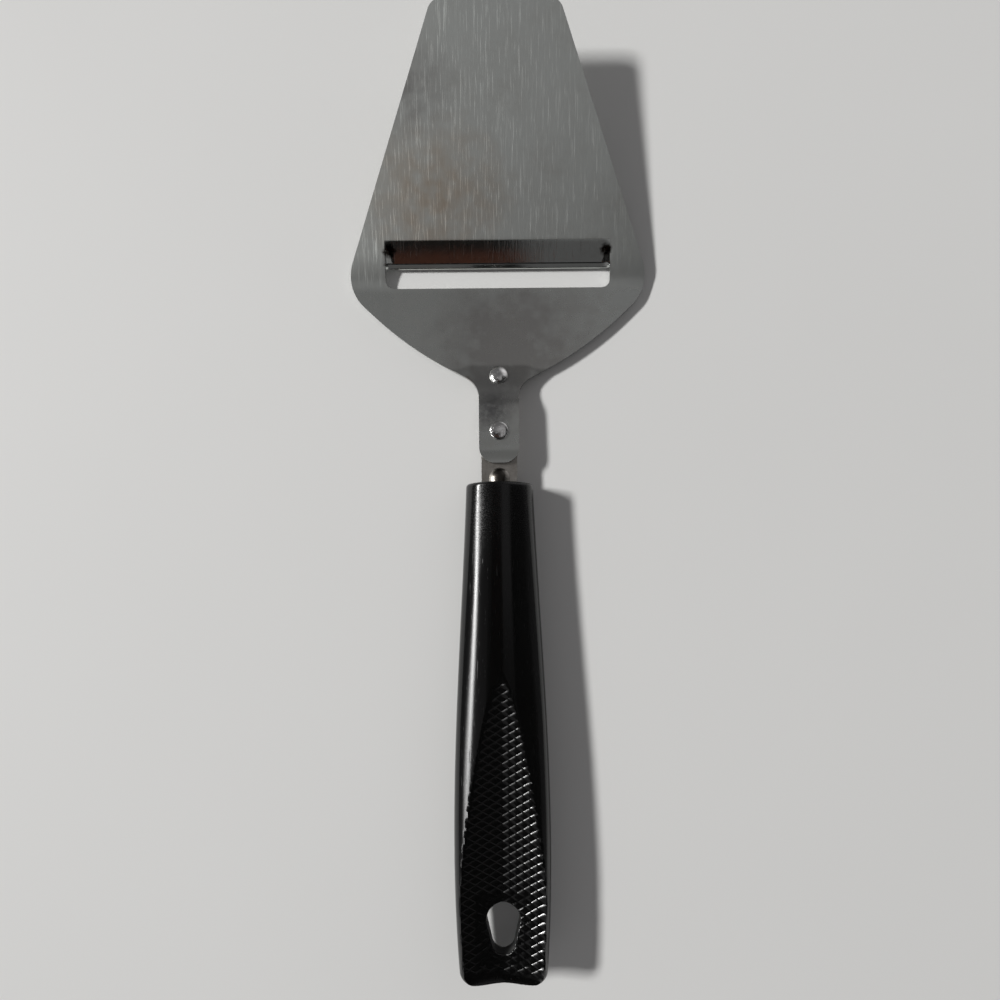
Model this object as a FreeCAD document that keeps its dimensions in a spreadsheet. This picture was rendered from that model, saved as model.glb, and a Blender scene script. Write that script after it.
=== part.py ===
# Cheese slicer: a bent steel blade riveted to a steel tang, with a handle moulded around the tang.
#
# Lengths are millimetres and angles degrees. +Y points to the tip of the blade and +Z up. The part rests
# on Z = 0, on the front end of its tang and on the lower rim of the handle's mouth, so that the butt of the
# handle stands a little off the ground. Inside every body the handle is level, and Y = 0 and Z = 0 are at
# the lower rim of its mouth. The body's placement leans the part forward by that small angle and brings the
# middle of the whole length to the origin.
import FreeCAD
import Part
import Sketcher
import math
import os

SIZES = {
    # Whole object, measured from the mouth of the handle
    "blade_reach": 105.5,
    "handle_length": 112.6,
    "lean_angle": 1.5,
    # Blade sheet seen from the side, from the tongue over the bends to the rising front plate
    "blade_thickness": 0.9,
    "sole_height": 2.21,
    "tongue_gap": 4.9,
    "neck_length": 14.1,
    "ramp_run": 4.2,
    "ramp_angle": 22.7,
    "seat_run": 5.4,
    "seat_angle": 10.7,
    "sole_run": 18.7,
    "rise_angle": 15.0,
    "bend_radius": 2.0,
    # Blade sheet seen from above
    "neck_width": 9.2,
    "tongue_corner": 3.4,
    "neck_fillet": 6.0,
    "haunch_bulge": 2.4,
    "haunch_round": 80.0,
    "shoulder_run": 23.1,
    "shoulder_width": 72.0,
    "shoulder_round": 9.6,
    "tip_width": 28.0,
    "tip_corner": 3.2,
    "trim_margin": 5.0,
    # Slot and cutting lip, placed from the bend where the front plate starts to rise
    "slot_length": 52.5,
    "slot_setback": 1.15,
    "slot_corner": 2.0,
    "lip_edge_ahead": 3.5,
    "lip_bend_ahead": 9.7,
    "lip_drop": 0.6,
    "lip_end_run": 2.1,
    "edge_grind": 1.2,
    # Tang strip
    "tang_width": 8.3,
    "tang_thickness": 1.5,
    "tang_setback": 0.4,
    "tang_corner": 2.0,
    "tang_embed": 60.0,
    "anchor_hole": 4.0,
    "anchor_place": 42.0,
    "bead_radius": 2.0,
    "bead_height": 1.0,
    "bead_reach": 1.35,
    "bead_embed": 9.0,
    # Rivets
    "rivet_shank": 2.6,
    "rivet_head": 4.3,
    "rivet_clearance": 0.05,
    "front_head_height": 1.1,
    "rear_head_height": 0.75,
    "rivet_tail_height": 0.45,
    "rear_rivet_inset": 7.4,
    # Handle sections, each a full width, a full thickness and the radius of its crowns
    "mouth_width": 15.3,
    "mouth_thickness": 10.9,
    "mouth_crown": 12.0,
    "mouth_round": 0.8,
    "panel_start": 44.4,
    "panel_start_width": 19.8,
    "panel_start_thickness": 10.7,
    "panel_start_crown": 16.0,
    "belly_setback": 34.9,
    "belly_width": 22.0,
    "belly_thickness": 10.9,
    "belly_crown": 20.0,
    "butt_width": 19.6,
    "butt_thickness": 9.8,
    "butt_crown": 18.0,
    "butt_round": 2.4,
    "butt_dip": 0.9,
    "butt_dip_width": 12.0,
    # Checkered panel, a shallow V valley that deepens towards the butt and levels out at the hanging hole
    "valley_slope": 3.8,
    "valley_side_slope": 4.2,
    "valley_lead_in": 10.0,
    # Hanging hole
    "hole_wall": 6.3,
    "hole_length": 12.3,
    "hole_big_radius": 3.8,
    "hole_small_radius": 2.6,
    # Room between the moulding and the steel inside it
    "mould_gap": 0.05,
}

# Places along the blade, measured from the mouth towards the tip
NECK_BEND = "(Sizes.tongue_gap + Sizes.neck_length)"
RAMP_FOOT = f"({NECK_BEND} + Sizes.ramp_run)"
SEAT_END = f"({RAMP_FOOT} + Sizes.seat_run)"
RISE_BEND = f"({SEAT_END} + Sizes.sole_run)"
LIP_BEND = f"({RISE_BEND} + Sizes.lip_bend_ahead)"
LIP_EDGE = f"({RISE_BEND} + Sizes.lip_edge_ahead)"
SLOT_BACK = f"({RISE_BEND} - Sizes.slot_setback)"
TANG_FRONT = f"({SEAT_END} - Sizes.tang_setback)"

# Heights of the blade's upper face
SOLE_TOP = "(Sizes.sole_height + Sizes.blade_thickness)"
SEAT_TOP = f"({SOLE_TOP} + Sizes.seat_run * tan(Sizes.seat_angle))"
NECK_TOP = f"({SEAT_TOP} + Sizes.ramp_run * tan(Sizes.ramp_angle))"
TANG_TOP = f"({NECK_TOP} - Sizes.blade_thickness)"
TANG_DEPTH = "(Sizes.blade_thickness + Sizes.tang_thickness)"

# Handle
HANDLE_AXIS = "(Sizes.mouth_thickness / 2 - Sizes.mouth_round * tan(Sizes.lean_angle))"
HOLE_START = "(Sizes.handle_length - Sizes.hole_wall - Sizes.hole_length)"

# The two rivets: place along the blade, height of the seat, tilt of the seat, height of the dome
RIVETS = {
    "rivet_front": (
        f"({RAMP_FOOT} + Sizes.seat_run / 2)",
        f"({SOLE_TOP} + Sizes.seat_run / 2 * tan(Sizes.seat_angle))",
        "Sizes.seat_angle",
        "Sizes.front_head_height",
    ),
    "rivet_rear": (
        "(Sizes.tongue_gap + Sizes.rear_rivet_inset)",
        NECK_TOP,
        "0",
        "Sizes.rear_head_height",
    ),
}

doc = FreeCAD.newDocument("CheeseSlicer")
sheet = doc.addObject("Spreadsheet::Sheet", "Sizes")
for row, (alias, number) in enumerate(SIZES.items(), start=1):
    sheet.set(f"A{row}", alias)
    sheet.set(f"B{row}", str(number))
    sheet.setAlias(f"B{row}", alias)
doc.recompute()


def value(expression):
    """Work out an expression over the sheet as a plain number."""
    return float(sheet.evalExpression(expression))


def leaned(along, height):
    """Give a place and a height once the part leans forward about the lower rim of the mouth."""
    turned_along = f"({along} * cos(Sizes.lean_angle) + {height} * sin(Sizes.lean_angle))"
    turned_height = f"({height} * cos(Sizes.lean_angle) - {along} * sin(Sizes.lean_angle))"
    return turned_along, turned_height


def new_body(label, along="0", height="0", tilt="0"):
    """Start a body at a place on the level part, tilted forward there, and lean it with the whole part.

    The middle between the upper edge of the tip and the lower end of the butt's face is at the origin.
    """
    body = doc.addObject("PartDesign::Body", label.title().replace("_", ""))
    body.Label = label
    butt_height = f"({HANDLE_AXIS} - Sizes.butt_thickness / 2 + Sizes.butt_round)"
    tip, _ = leaned("Sizes.blade_reach", plate_height("Sizes.blade_reach", "0"))
    butt, _ = leaned("(-Sizes.handle_length)", butt_height)
    place, lift = leaned(along, height)
    body.Placement.Rotation = FreeCAD.Rotation(FreeCAD.Vector(-1, 0, 0), value("Sizes.lean_angle"))
    body.setExpression("Placement.Base.y", f"{place} - ({tip} + {butt}) / 2")
    body.setExpression("Placement.Base.z", lift)
    body.setExpression("Placement.Rotation.Angle", f"{tilt} + Sizes.lean_angle")
    return body


def new_sketch(body, name, role, offset=None):
    """Attach a sketch to one of the body's own planes, lifted along its normal by an expression."""
    sketch = body.newObject("Sketcher::SketchObject", name)
    plane = [feature for feature in body.Origin.OriginFeatures if feature.Role == role][0]
    sketch.AttachmentSupport = [(plane, "")]
    sketch.MapMode = "FlatFace"
    if offset is not None:
        sketch.setExpression("AttachmentOffset.Base.z", offset)
    return sketch


def bind(sketch, constraint, expression):
    """Add a dimension to a sketch and tie it to an expression over the sheet."""
    index = sketch.addConstraint(constraint)
    sketch.setExpression(f"Constraints[{index}]", expression)


def pin_point(sketch, geometry, point, across, up):
    """Dimension a point of a sketch from the sketch's origin."""
    for kind, expression in (("DistanceX", across), ("DistanceY", up)):
        bind(sketch, Sketcher.Constraint(kind, -1, 1, geometry, point, value(expression)), expression)


def rounded_outline(sketch, corners):
    """Draw a closed outline of straight runs, given as corners (across, up, radius or None).

    Every corner is a dimensioned point, and a corner with a radius gets an arc tangent to both runs.
    """
    count = len(corners)
    sharp = [FreeCAD.Vector(value(across), value(up), 0) for across, up, _ in corners]
    rounds = []
    for index, (_, _, radius) in enumerate(corners):
        here = sharp[index]
        back = (sharp[index - 1] - here).normalize()
        ahead = (sharp[(index + 1) % count] - here).normalize()
        if radius is None:
            rounds.append((here, here, None))
            continue
        size = value(radius)
        half_angle = back.getAngle(ahead) / 2
        reach = size / math.tan(half_angle)
        bisector = (back + ahead).normalize()
        centre = here + bisector * (size / math.sin(half_angle))
        middle = centre - bisector * size
        rounds.append((here + back * reach, here + ahead * reach, middle))
    runs = []
    for index in range(count):
        start = rounds[index][1]
        end = rounds[(index + 1) % count][0]
        runs.append(sketch.addGeometry(Part.LineSegment(start, end), False))
    for index, (across, up, radius) in enumerate(corners):
        before = runs[index - 1]
        after = runs[index]
        enter, leave, middle = rounds[index]
        if radius is None:
            sketch.addConstraint(Sketcher.Constraint("Coincident", before, 2, after, 1))
            pin_point(sketch, after, 1, across, up)
            continue
        arc = sketch.addGeometry(Part.Arc(enter, middle, leave), False)
        turns_left = (enter - sharp[index]).cross(leave - sharp[index]).z < 0
        first, last = (1, 2) if turns_left else (2, 1)
        sketch.addConstraint(Sketcher.Constraint("Tangent", before, 2, arc, first))
        sketch.addConstraint(Sketcher.Constraint("Tangent", arc, last, after, 1))
        bind(sketch, Sketcher.Constraint("Radius", arc, value(radius)), radius)
        corner = sketch.addGeometry(Part.Point(sharp[index]), True)
        sketch.addConstraint(Sketcher.Constraint("PointOnObject", corner, 1, before))
        sketch.addConstraint(Sketcher.Constraint("PointOnObject", corner, 1, after))
        pin_point(sketch, corner, 1, across, up)


def circle(sketch, across, up, radius):
    """Draw a dimensioned circle."""
    centre = FreeCAD.Vector(value(across), value(up), 0)
    index = sketch.addGeometry(Part.Circle(centre, FreeCAD.Vector(0, 0, 1), value(radius)), False)
    bind(sketch, Sketcher.Constraint("Radius", index, value(radius)), radius)
    pin_point(sketch, index, 3, across, up)


def pad(body, sketch, name, length):
    """Raise a sketch by a length, half of it to each side."""
    feature = body.newObject("PartDesign::Pad", name)
    feature.Profile = sketch
    feature.SideType = "Symmetric"
    feature.setExpression("Length", length)
    return feature


def pocket(body, sketch, name, length=None):
    """Cut a sketch through the body both ways, or over a length that is shared by both sides."""
    feature = body.newObject("PartDesign::Pocket", name)
    feature.Profile = sketch
    feature.SideType = "Symmetric"
    if length is None:
        feature.Type = "ThroughAll"
    else:
        feature.setExpression("Length", length)
    return feature


def loft(body, kind, name, sketches, ruled):
    """Join sketches by an additive or subtractive loft."""
    feature = body.newObject(f"PartDesign::{kind}", name)
    feature.Profile = sketches[0]
    feature.Sections = sketches[1:]
    feature.Ruled = ruled
    return feature


def fillet(body, base, name, radius, chosen):
    """Round the edges of a feature that a test on the edge chooses."""
    doc.recompute()
    edges = [f"Edge{i}" for i, edge in enumerate(base.Shape.Edges, start=1) if chosen(edge)]
    feature = body.newObject("PartDesign::Fillet", name)
    feature.Base = (base, edges)
    feature.setExpression("Radius", radius)
    return feature


def bent_line(depth):
    """Give the bends of the steel at a depth below the blade's upper face, as (along, height) pairs.

    A bend moves along its mitre, so that every straight run keeps its thickness.
    """
    bends = [
        (NECK_BEND, NECK_TOP, "0", "(-Sizes.ramp_angle)"),
        (RAMP_FOOT, SEAT_TOP, "(-Sizes.ramp_angle)", "(-Sizes.seat_angle)"),
        (SEAT_END, SOLE_TOP, "(-Sizes.seat_angle)", "0"),
        (RISE_BEND, SOLE_TOP, "0", "Sizes.rise_angle"),
    ]
    line = []
    for along, height, before, after in bends:
        mean = f"(({before} + {after}) / 2)"
        half = f"(({after} - {before}) / 2)"
        line.append((
            f"({along} + {depth} * sin({mean}) / cos({half}))",
            f"({height} - {depth} * cos({mean}) / cos({half}))",
        ))
    return line


def plate_height(along, depth):
    """Height of the rising front plate at a place, at a depth measured square to the sheet."""
    rise = f"({along} - {RISE_BEND}) * tan(Sizes.rise_angle)"
    return f"({SOLE_TOP} + {rise} - {depth} / cos(Sizes.rise_angle))"


def drill_rivet_holes(body):
    """Cut a hole for each rivet, square to the seat of the rivet."""
    for name, (along, height, tilt, _) in RIVETS.items():
        sketch = new_sketch(body, f"{name}_hole_sketch", "XY_Plane", height)
        tilted = FreeCAD.Rotation(FreeCAD.Vector(-1, 0, 0), value("Sizes.seat_angle"))
        sketch.AttachmentOffset = FreeCAD.Placement(FreeCAD.Vector(0, 0, 0), tilted)
        sketch.setExpression("AttachmentOffset.Base.y", along)
        sketch.setExpression("AttachmentOffset.Rotation.Angle", tilt)
        circle(sketch, "0", "0", "Sizes.rivet_shank / 2 + Sizes.rivet_clearance")
        pocket(body, sketch, f"{name}_hole")


def make_blade():
    """Bent sheet, trimmed to its outline from above, with the slot, the cutting lip and the rivet holes."""
    body = new_body("blade")
    start = "(Sizes.tongue_gap - Sizes.trim_margin)"
    end = "(Sizes.blade_reach + Sizes.trim_margin)"
    sheet_depth = "Sizes.blade_thickness"
    inner = "Sizes.bend_radius"
    outer = "(Sizes.bend_radius + Sizes.blade_thickness)"
    upper = [(*bend, radius) for bend, radius in zip(bent_line("0"), (outer, inner, inner, inner))]
    lower = [(*bend, radius) for bend, radius in zip(bent_line(sheet_depth), (inner, outer, outer, outer))]
    side = new_sketch(body, "blade_side", "YZ_Plane")
    rounded_outline(side, [
        (start, NECK_TOP, None),
        *upper,
        (end, plate_height(end, "0"), None),
        (end, plate_height(end, sheet_depth), None),
        *reversed(lower),
        (start, f"{NECK_TOP} - {sheet_depth}", None),
    ])
    pad(body, side, "blade_sheet", "Sizes.shoulder_width + 2 * Sizes.trim_margin")

    half_neck = "(Sizes.neck_width / 2)"
    half_shoulder = "(Sizes.shoulder_width / 2)"
    flank = f"sqrt(({half_shoulder} - {half_neck})^2 + Sizes.shoulder_run^2)"
    bulge = f"Sizes.haunch_bulge / {flank}"
    right_side = [
        (half_neck, "Sizes.tongue_gap", "Sizes.tongue_corner"),
        (half_neck, RAMP_FOOT, "Sizes.neck_fillet"),
        (
            f"(({half_neck} + {half_shoulder}) / 2 + Sizes.shoulder_run * {bulge})",
            f"({RAMP_FOOT} + Sizes.shoulder_run / 2 - ({half_shoulder} - {half_neck}) * {bulge})",
            "Sizes.haunch_round",
        ),
        (half_shoulder, f"({RAMP_FOOT} + Sizes.shoulder_run)", "Sizes.shoulder_round"),
        ("(Sizes.tip_width / 2)", "Sizes.blade_reach", "Sizes.tip_corner"),
    ]
    left_side = [(f"(-{across})", up, radius) for across, up, radius in reversed(right_side)]
    outline = new_sketch(body, "blade_outline", "XY_Plane")
    rounded_outline(outline, right_side + left_side)
    waste_x = f"({half_shoulder} + 2 * Sizes.trim_margin)"
    waste_back = "(Sizes.tongue_gap - 2 * Sizes.trim_margin)"
    waste_front = "(Sizes.blade_reach + 2 * Sizes.trim_margin)"
    rounded_outline(outline, [
        (waste_x, waste_back, None),
        (waste_x, waste_front, None),
        (f"(-{waste_x})", waste_front, None),
        (f"(-{waste_x})", waste_back, None),
    ])
    pocket(body, outline, "blade_trim")

    half_slot = "(Sizes.slot_length / 2)"
    slot = new_sketch(body, "slot_outline", "XY_Plane")
    rounded_outline(slot, [
        (half_slot, SLOT_BACK, "Sizes.slot_corner"),
        (half_slot, LIP_BEND, None),
        (f"(-{half_slot})", LIP_BEND, None),
        (f"(-{half_slot})", SLOT_BACK, "Sizes.slot_corner"),
    ])
    pocket(body, slot, "slot")

    grind = f"({LIP_EDGE} + Sizes.edge_grind)"
    bend_bottom = plate_height(LIP_BEND, sheet_depth)
    bend_top = plate_height(LIP_BEND, "0")
    plate_edge = plate_height(LIP_EDGE, sheet_depth)
    edge_height = f"({plate_edge} - Sizes.lip_drop)"
    lip_slope = f"({bend_bottom} - {edge_height}) / ({LIP_BEND} - {LIP_EDGE})"
    pressed = (f"({bend_top} - ({LIP_BEND} - {grind}) * {lip_slope})", edge_height)
    unpressed = (plate_height(grind, "0"), plate_edge)
    lip_floor = f"({half_slot} - Sizes.lip_end_run)"
    stations = [
        (f"(-{half_slot})", unpressed),
        (f"(-{lip_floor})", pressed),
        (lip_floor, pressed),
        (half_slot, unpressed),
    ]
    sections = []
    for number, (across, (grind_top, edge)) in enumerate(stations, start=1):
        section = new_sketch(body, f"lip_section_{number}", "YZ_Plane", across)
        rounded_outline(section, [
            (LIP_EDGE, edge, None),
            (LIP_BEND, bend_bottom, None),
            (LIP_BEND, bend_top, None),
            (grind, grind_top, None),
        ])
        sections.append(section)
    loft(body, "AdditiveLoft", "lip", sections, ruled=True)
    drill_rivet_holes(body)
    return body


def bead_profile(sketch, gap, front_run):
    """Half outline of the pressed bead, beside its long axis, grown by a gap and lengthened in front."""
    radius = f"(Sizes.bead_radius + {gap})"
    back = f"(-Sizes.bead_embed - {gap})"
    front = f"(Sizes.bead_reach + {front_run})"
    nose = f"({front} + {radius})"
    corners = [("0", nose), ("0", back), (radius, back), (radius, front)]
    points = [FreeCAD.Vector(value(across), value(up), 0) for across, up in corners]
    runs = [
        sketch.addGeometry(Part.LineSegment(points[index], points[index + 1]), False)
        for index in range(len(points) - 1)
    ]
    centre = FreeCAD.Vector(0, value(front), 0)
    quarter = Part.Circle(centre, FreeCAD.Vector(0, 0, 1), value(radius))
    arc = sketch.addGeometry(Part.ArcOfCircle(quarter, 0, math.pi / 2), False)
    sketch.addConstraint(Sketcher.Constraint("Coincident", runs[0], 2, runs[1], 1))
    sketch.addConstraint(Sketcher.Constraint("Coincident", runs[1], 2, runs[2], 1))
    sketch.addConstraint(Sketcher.Constraint("Tangent", runs[2], 2, arc, 1))
    sketch.addConstraint(Sketcher.Constraint("Coincident", arc, 2, runs[0], 1))
    sketch.addConstraint(Sketcher.Constraint("PointOnObject", arc, 2, -2))
    pin_point(sketch, runs[1], 1, "0", back)
    pin_point(sketch, runs[1], 2, radius, back)
    pin_point(sketch, arc, 3, "0", front)


def half_turn(body, kind, name, sketch):
    """Turn a profile half round the sketch's upright axis, over its upper side."""
    feature = body.newObject(f"PartDesign::{kind}", name)
    feature.Profile = sketch
    feature.ReferenceAxis = (sketch, ["V_Axis"])
    feature.Angle = 180
    feature.Reversed = True
    return feature


def make_tang():
    """Strip that lies under the blade from its seat to the neck and runs on into the handle."""
    body = new_body("tang")
    back = "(-Sizes.tang_embed)"
    top_radii = ("Sizes.bend_radius", "(Sizes.bend_radius + Sizes.blade_thickness)")
    bottom_radii = ("Sizes.bend_radius", f"(Sizes.bend_radius + {TANG_DEPTH})")
    upper = [(*bend, radius) for bend, radius in zip(bent_line("Sizes.blade_thickness"), top_radii)]
    lower = [(*bend, radius) for bend, radius in zip(bent_line(TANG_DEPTH), bottom_radii)]
    seat_rise = f"{SOLE_TOP} + ({SEAT_END} - {TANG_FRONT}) * tan(Sizes.seat_angle)"
    front_top = f"({seat_rise} - Sizes.blade_thickness / cos(Sizes.seat_angle))"
    front_bottom = f"({seat_rise} - {TANG_DEPTH} / cos(Sizes.seat_angle))"
    side = new_sketch(body, "tang_side", "YZ_Plane")
    rounded_outline(side, [
        (back, TANG_TOP, None),
        *upper,
        (TANG_FRONT, front_top, None),
        (TANG_FRONT, front_bottom, None),
        *reversed(lower),
        (back, f"{TANG_TOP} - Sizes.tang_thickness", None),
    ])
    strip = pad(body, side, "tang_strip", "Sizes.tang_width")
    ends = (value(TANG_FRONT), value(back))
    fillet(body, strip, "tang_corners", "Sizes.tang_corner", lambda edge: is_end_corner(edge, ends))

    anchor = new_sketch(body, "anchor_outline", "XY_Plane", TANG_TOP)
    circle(anchor, "0", "(-Sizes.anchor_place)", "Sizes.anchor_hole / 2")
    pocket(body, anchor, "anchor_hole")

    bead_axis = f"{TANG_TOP} + Sizes.bead_height - Sizes.bead_radius"
    bead = new_sketch(body, "bead_outline", "XY_Plane", bead_axis)
    bead_profile(bead, "0", "0")
    half_turn(body, "Revolution", "bead", bead)
    drill_rivet_holes(body)
    return body


def is_end_corner(edge, ends):
    """Tell whether an edge is one of the upright corners of a strip that ends at the given places."""
    box = edge.BoundBox
    upright = box.YLength < Part.Precision.confusion() and box.XLength < Part.Precision.confusion()
    return upright and any(abs(box.YMin - end) < Part.Precision.approximation() for end in ends)


def make_rivet(label, along, height, tilt, dome_height):
    """Solid rivet: a domed head on the blade, a shank through both sheets and a low tail below."""
    body = new_body(label, along, height, tilt)
    head = "(Sizes.rivet_head / 2)"
    shank = "(Sizes.rivet_shank / 2)"
    foot = f"(-{TANG_DEPTH})"
    corners = [
        ("0", f"({foot} - Sizes.rivet_tail_height)"),
        (head, foot),
        (shank, foot),
        (shank, "0"),
        (head, "0"),
        ("0", dome_height),
    ]
    profile = new_sketch(body, f"{label}_profile", "XZ_Plane")
    points = [FreeCAD.Vector(value(across), value(up), 0) for across, up in corners]
    pieces = []
    for index, start in enumerate(points):
        end = points[(index + 1) % len(points)]
        if index in (0, len(points) - 2):
            pieces.append(profile.addGeometry(cap_arc(start, end), False))
        else:
            pieces.append(profile.addGeometry(Part.LineSegment(start, end), False))
    for index, piece in enumerate(pieces):
        if index in (0, len(points) - 2):
            profile.addConstraint(Sketcher.Constraint("PointOnObject", piece, 3, -2))
        after = pieces[(index + 1) % len(pieces)]
        profile.addConstraint(Sketcher.Constraint("Coincident", piece, 2, after, 1))
        pin_point(profile, after, 1, *corners[(index + 1) % len(corners)])
    turn = body.newObject("PartDesign::Revolution", f"{label}_turn")
    turn.Profile = profile
    turn.ReferenceAxis = (profile, ["V_Axis"])
    return body


def cap_arc(start, end):
    """Arc from one point to another, about a centre on the upright axis."""
    rim, pole = (start, end) if start.x > end.x else (end, start)
    rise = pole.y - rim.y
    centre_y = pole.y - (rim.x**2 + rise**2) / (2 * rise)
    radius = abs(pole.y - centre_y)
    centre = FreeCAD.Vector(0, centre_y, 0)
    around = Part.Circle(centre, FreeCAD.Vector(0, 0, 1), radius)
    angles = [math.atan2(point.y - centre_y, point.x) for point in (start, end)]
    return Part.ArcOfCircle(around, *angles)


def oval(sketch, width, thickness, crown):
    """Draw a handle section: four tangent arcs, broad crowns above and below and rounder flanks."""
    half_width = f"({width} / 2)"
    half_thickness = f"({thickness} / 2)"
    square_sum = f"({half_width}^2 + {half_thickness}^2)"
    flank = f"((2 * {crown} * {half_thickness} - {square_sum}) / (2 * ({crown} - {half_width})))"
    flank_centre = f"({half_width} - {flank})"
    axis = value(HANDLE_AXIS)
    spread = math.atan2(value(f"{crown} - {half_thickness}"), value(flank_centre))
    lift = value(f"{crown} - {half_thickness}")
    arcs = []
    for centre, radius, start, end in (
        ((value(flank_centre), axis), flank, -spread, spread),
        ((0, axis - lift), crown, spread, math.pi - spread),
        ((-value(flank_centre), axis), flank, math.pi - spread, math.pi + spread),
        ((0, axis + lift), crown, math.pi + spread, 2 * math.pi - spread),
    ):
        around = Part.Circle(FreeCAD.Vector(*centre, 0), FreeCAD.Vector(0, 0, 1), value(radius))
        arcs.append(sketch.addGeometry(Part.ArcOfCircle(around, start, end), False))
    right, top, left, bottom = arcs
    for before, after in ((right, top), (top, left), (left, bottom)):
        sketch.addConstraint(Sketcher.Constraint("Tangent", before, 2, after, 1))
    sketch.addConstraint(Sketcher.Constraint("Coincident", bottom, 2, right, 1))
    sketch.addConstraint(Sketcher.Constraint("Equal", right, left))
    sketch.addConstraint(Sketcher.Constraint("Equal", top, bottom))
    for arc in (top, bottom):
        sketch.addConstraint(Sketcher.Constraint("PointOnObject", arc, 3, -2))
    bind(sketch, Sketcher.Constraint("Radius", right, value(flank)), flank)
    bind(sketch, Sketcher.Constraint("Radius", top, value(crown)), crown)
    pin_point(sketch, right, 3, flank_centre, HANDLE_AXIS)


def valley(body, name, side):
    """Cut the V valley of the checkered panel into the upper (side 1) or lower (side -1) crown."""
    reach = "(Sizes.belly_width / 2 + Sizes.trim_margin)"
    flank_rise = f"{reach} * tan(Sizes.valley_side_slope)"
    crest = "(Sizes.belly_thickness + Sizes.trim_margin)"
    start = "(Sizes.panel_start - Sizes.valley_lead_in)"
    end = "(Sizes.handle_length + Sizes.trim_margin)"
    sections = []
    for number, (place, depth_place) in enumerate(
        ((start, start), (HOLE_START, HOLE_START), (end, HOLE_START)), start=1
    ):
        depth = f"({depth_place} - Sizes.panel_start) * tan(Sizes.valley_slope)"
        crease = f"(Sizes.panel_start_thickness / 2 - {depth})"
        section = new_sketch(body, f"{name}_section_{number}", "XZ_Plane", place)
        heights = [crease, f"({crease} + {flank_rise})", crest, crest, f"({crease} + {flank_rise})"]
        places = ["0", reach, reach, f"(-{reach})", f"(-{reach})"]
        rounded_outline(section, [
            (across, f"({HANDLE_AXIS} + {side} * {height})", None)
            for across, height in zip(places, heights)
        ])
        sections.append(section)
    return loft(body, "SubtractiveLoft", name, sections, ruled=True)


def hanging_hole(sketch):
    """Draw the egg-shaped hole: two arcs on the centre line joined by two tangent runs."""
    big = "Sizes.hole_big_radius"
    small = "Sizes.hole_small_radius"
    big_centre = f"(-{HOLE_START} - {big})"
    small_centre = f"(-Sizes.handle_length + Sizes.hole_wall + {small})"
    lean = math.asin(value(f"({big} - {small}) / ({big_centre} - {small_centre})"))
    arcs = []
    for centre, radius, start, end in (
        (big_centre, big, -lean, math.pi + lean),
        (small_centre, small, math.pi + lean, 2 * math.pi - lean),
    ):
        around = Part.Circle(FreeCAD.Vector(0, value(centre), 0), FreeCAD.Vector(0, 0, 1), value(radius))
        arc = sketch.addGeometry(Part.ArcOfCircle(around, start, end), False)
        bind(sketch, Sketcher.Constraint("Radius", arc, value(radius)), radius)
        pin_point(sketch, arc, 3, "0", centre)
        arcs.append(arc)
    for before, after in (arcs, reversed(arcs)):
        start = sketch.getPoint(before, 2)
        end = sketch.getPoint(after, 1)
        run = sketch.addGeometry(Part.LineSegment(start, end), False)
        sketch.addConstraint(Sketcher.Constraint("Tangent", before, 2, run, 1))
        sketch.addConstraint(Sketcher.Constraint("Tangent", run, 2, after, 1))


def make_handle():
    """Moulded grip: an oval loft with a dipped butt, two panel valleys, the hanging hole and the socket."""
    body = new_body("handle")
    stations = {
        "mouth": "0",
        "panel_start": "Sizes.panel_start",
        "belly": "(Sizes.handle_length - Sizes.belly_setback)",
        "butt": "Sizes.handle_length",
    }
    sections = []
    for name, place in stations.items():
        section = new_sketch(body, f"{name}_section", "XZ_Plane", place)
        oval(section, *(f"Sizes.{name}_{size}" for size in ("width", "thickness", "crown")))
        sections.append(section)
    grip = loft(body, "AdditiveLoft", "grip", sections, ruled=False)
    butt = value("-Sizes.handle_length")
    rim = fillet(body, grip, "butt_rim", "Sizes.butt_round", lambda edge: lies_at(edge, butt))
    fillet(body, rim, "mouth_rim", "Sizes.mouth_round", lambda edge: lies_at(edge, 0))

    half_dip = "(Sizes.butt_dip_width / 2)"
    dip_radius = f"(({half_dip}^2 + Sizes.butt_dip^2) / (2 * Sizes.butt_dip))"
    dip_outline = new_sketch(body, "butt_dip_outline", "XY_Plane")
    circle(dip_outline, "0", f"(-Sizes.handle_length + Sizes.butt_dip - {dip_radius})", dip_radius)
    pocket(body, dip_outline, "butt_dip")
    valley(body, "upper_valley", 1)
    valley(body, "lower_valley", -1)

    hole = new_sketch(body, "hanging_hole_outline", "XY_Plane")
    hanging_hole(hole)
    pocket(body, hole, "hanging_hole")

    socket = new_sketch(body, "socket_outline", "XY_Plane", f"{TANG_TOP} - Sizes.tang_thickness / 2")
    socket_x = "(Sizes.tang_width / 2 + Sizes.mould_gap)"
    socket_end = "(-Sizes.tang_embed - Sizes.mould_gap)"
    rounded_outline(socket, [
        (socket_x, "Sizes.trim_margin", None),
        (f"(-{socket_x})", "Sizes.trim_margin", None),
        (f"(-{socket_x})", socket_end, "(Sizes.tang_corner + Sizes.mould_gap)"),
        (socket_x, socket_end, "(Sizes.tang_corner + Sizes.mould_gap)"),
    ])
    circle(socket, "0", "(-Sizes.anchor_place)", "Sizes.anchor_hole / 2 - Sizes.mould_gap")
    pocket(body, socket, "socket", "Sizes.tang_thickness + 2 * Sizes.mould_gap")
    bead_axis = f"{TANG_TOP} + Sizes.bead_height - Sizes.bead_radius"
    bead_room = new_sketch(body, "bead_room_outline", "XY_Plane", bead_axis)
    bead_profile(bead_room, "Sizes.mould_gap", "Sizes.trim_margin")
    half_turn(body, "Groove", "bead_room", bead_room)
    return body


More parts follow.
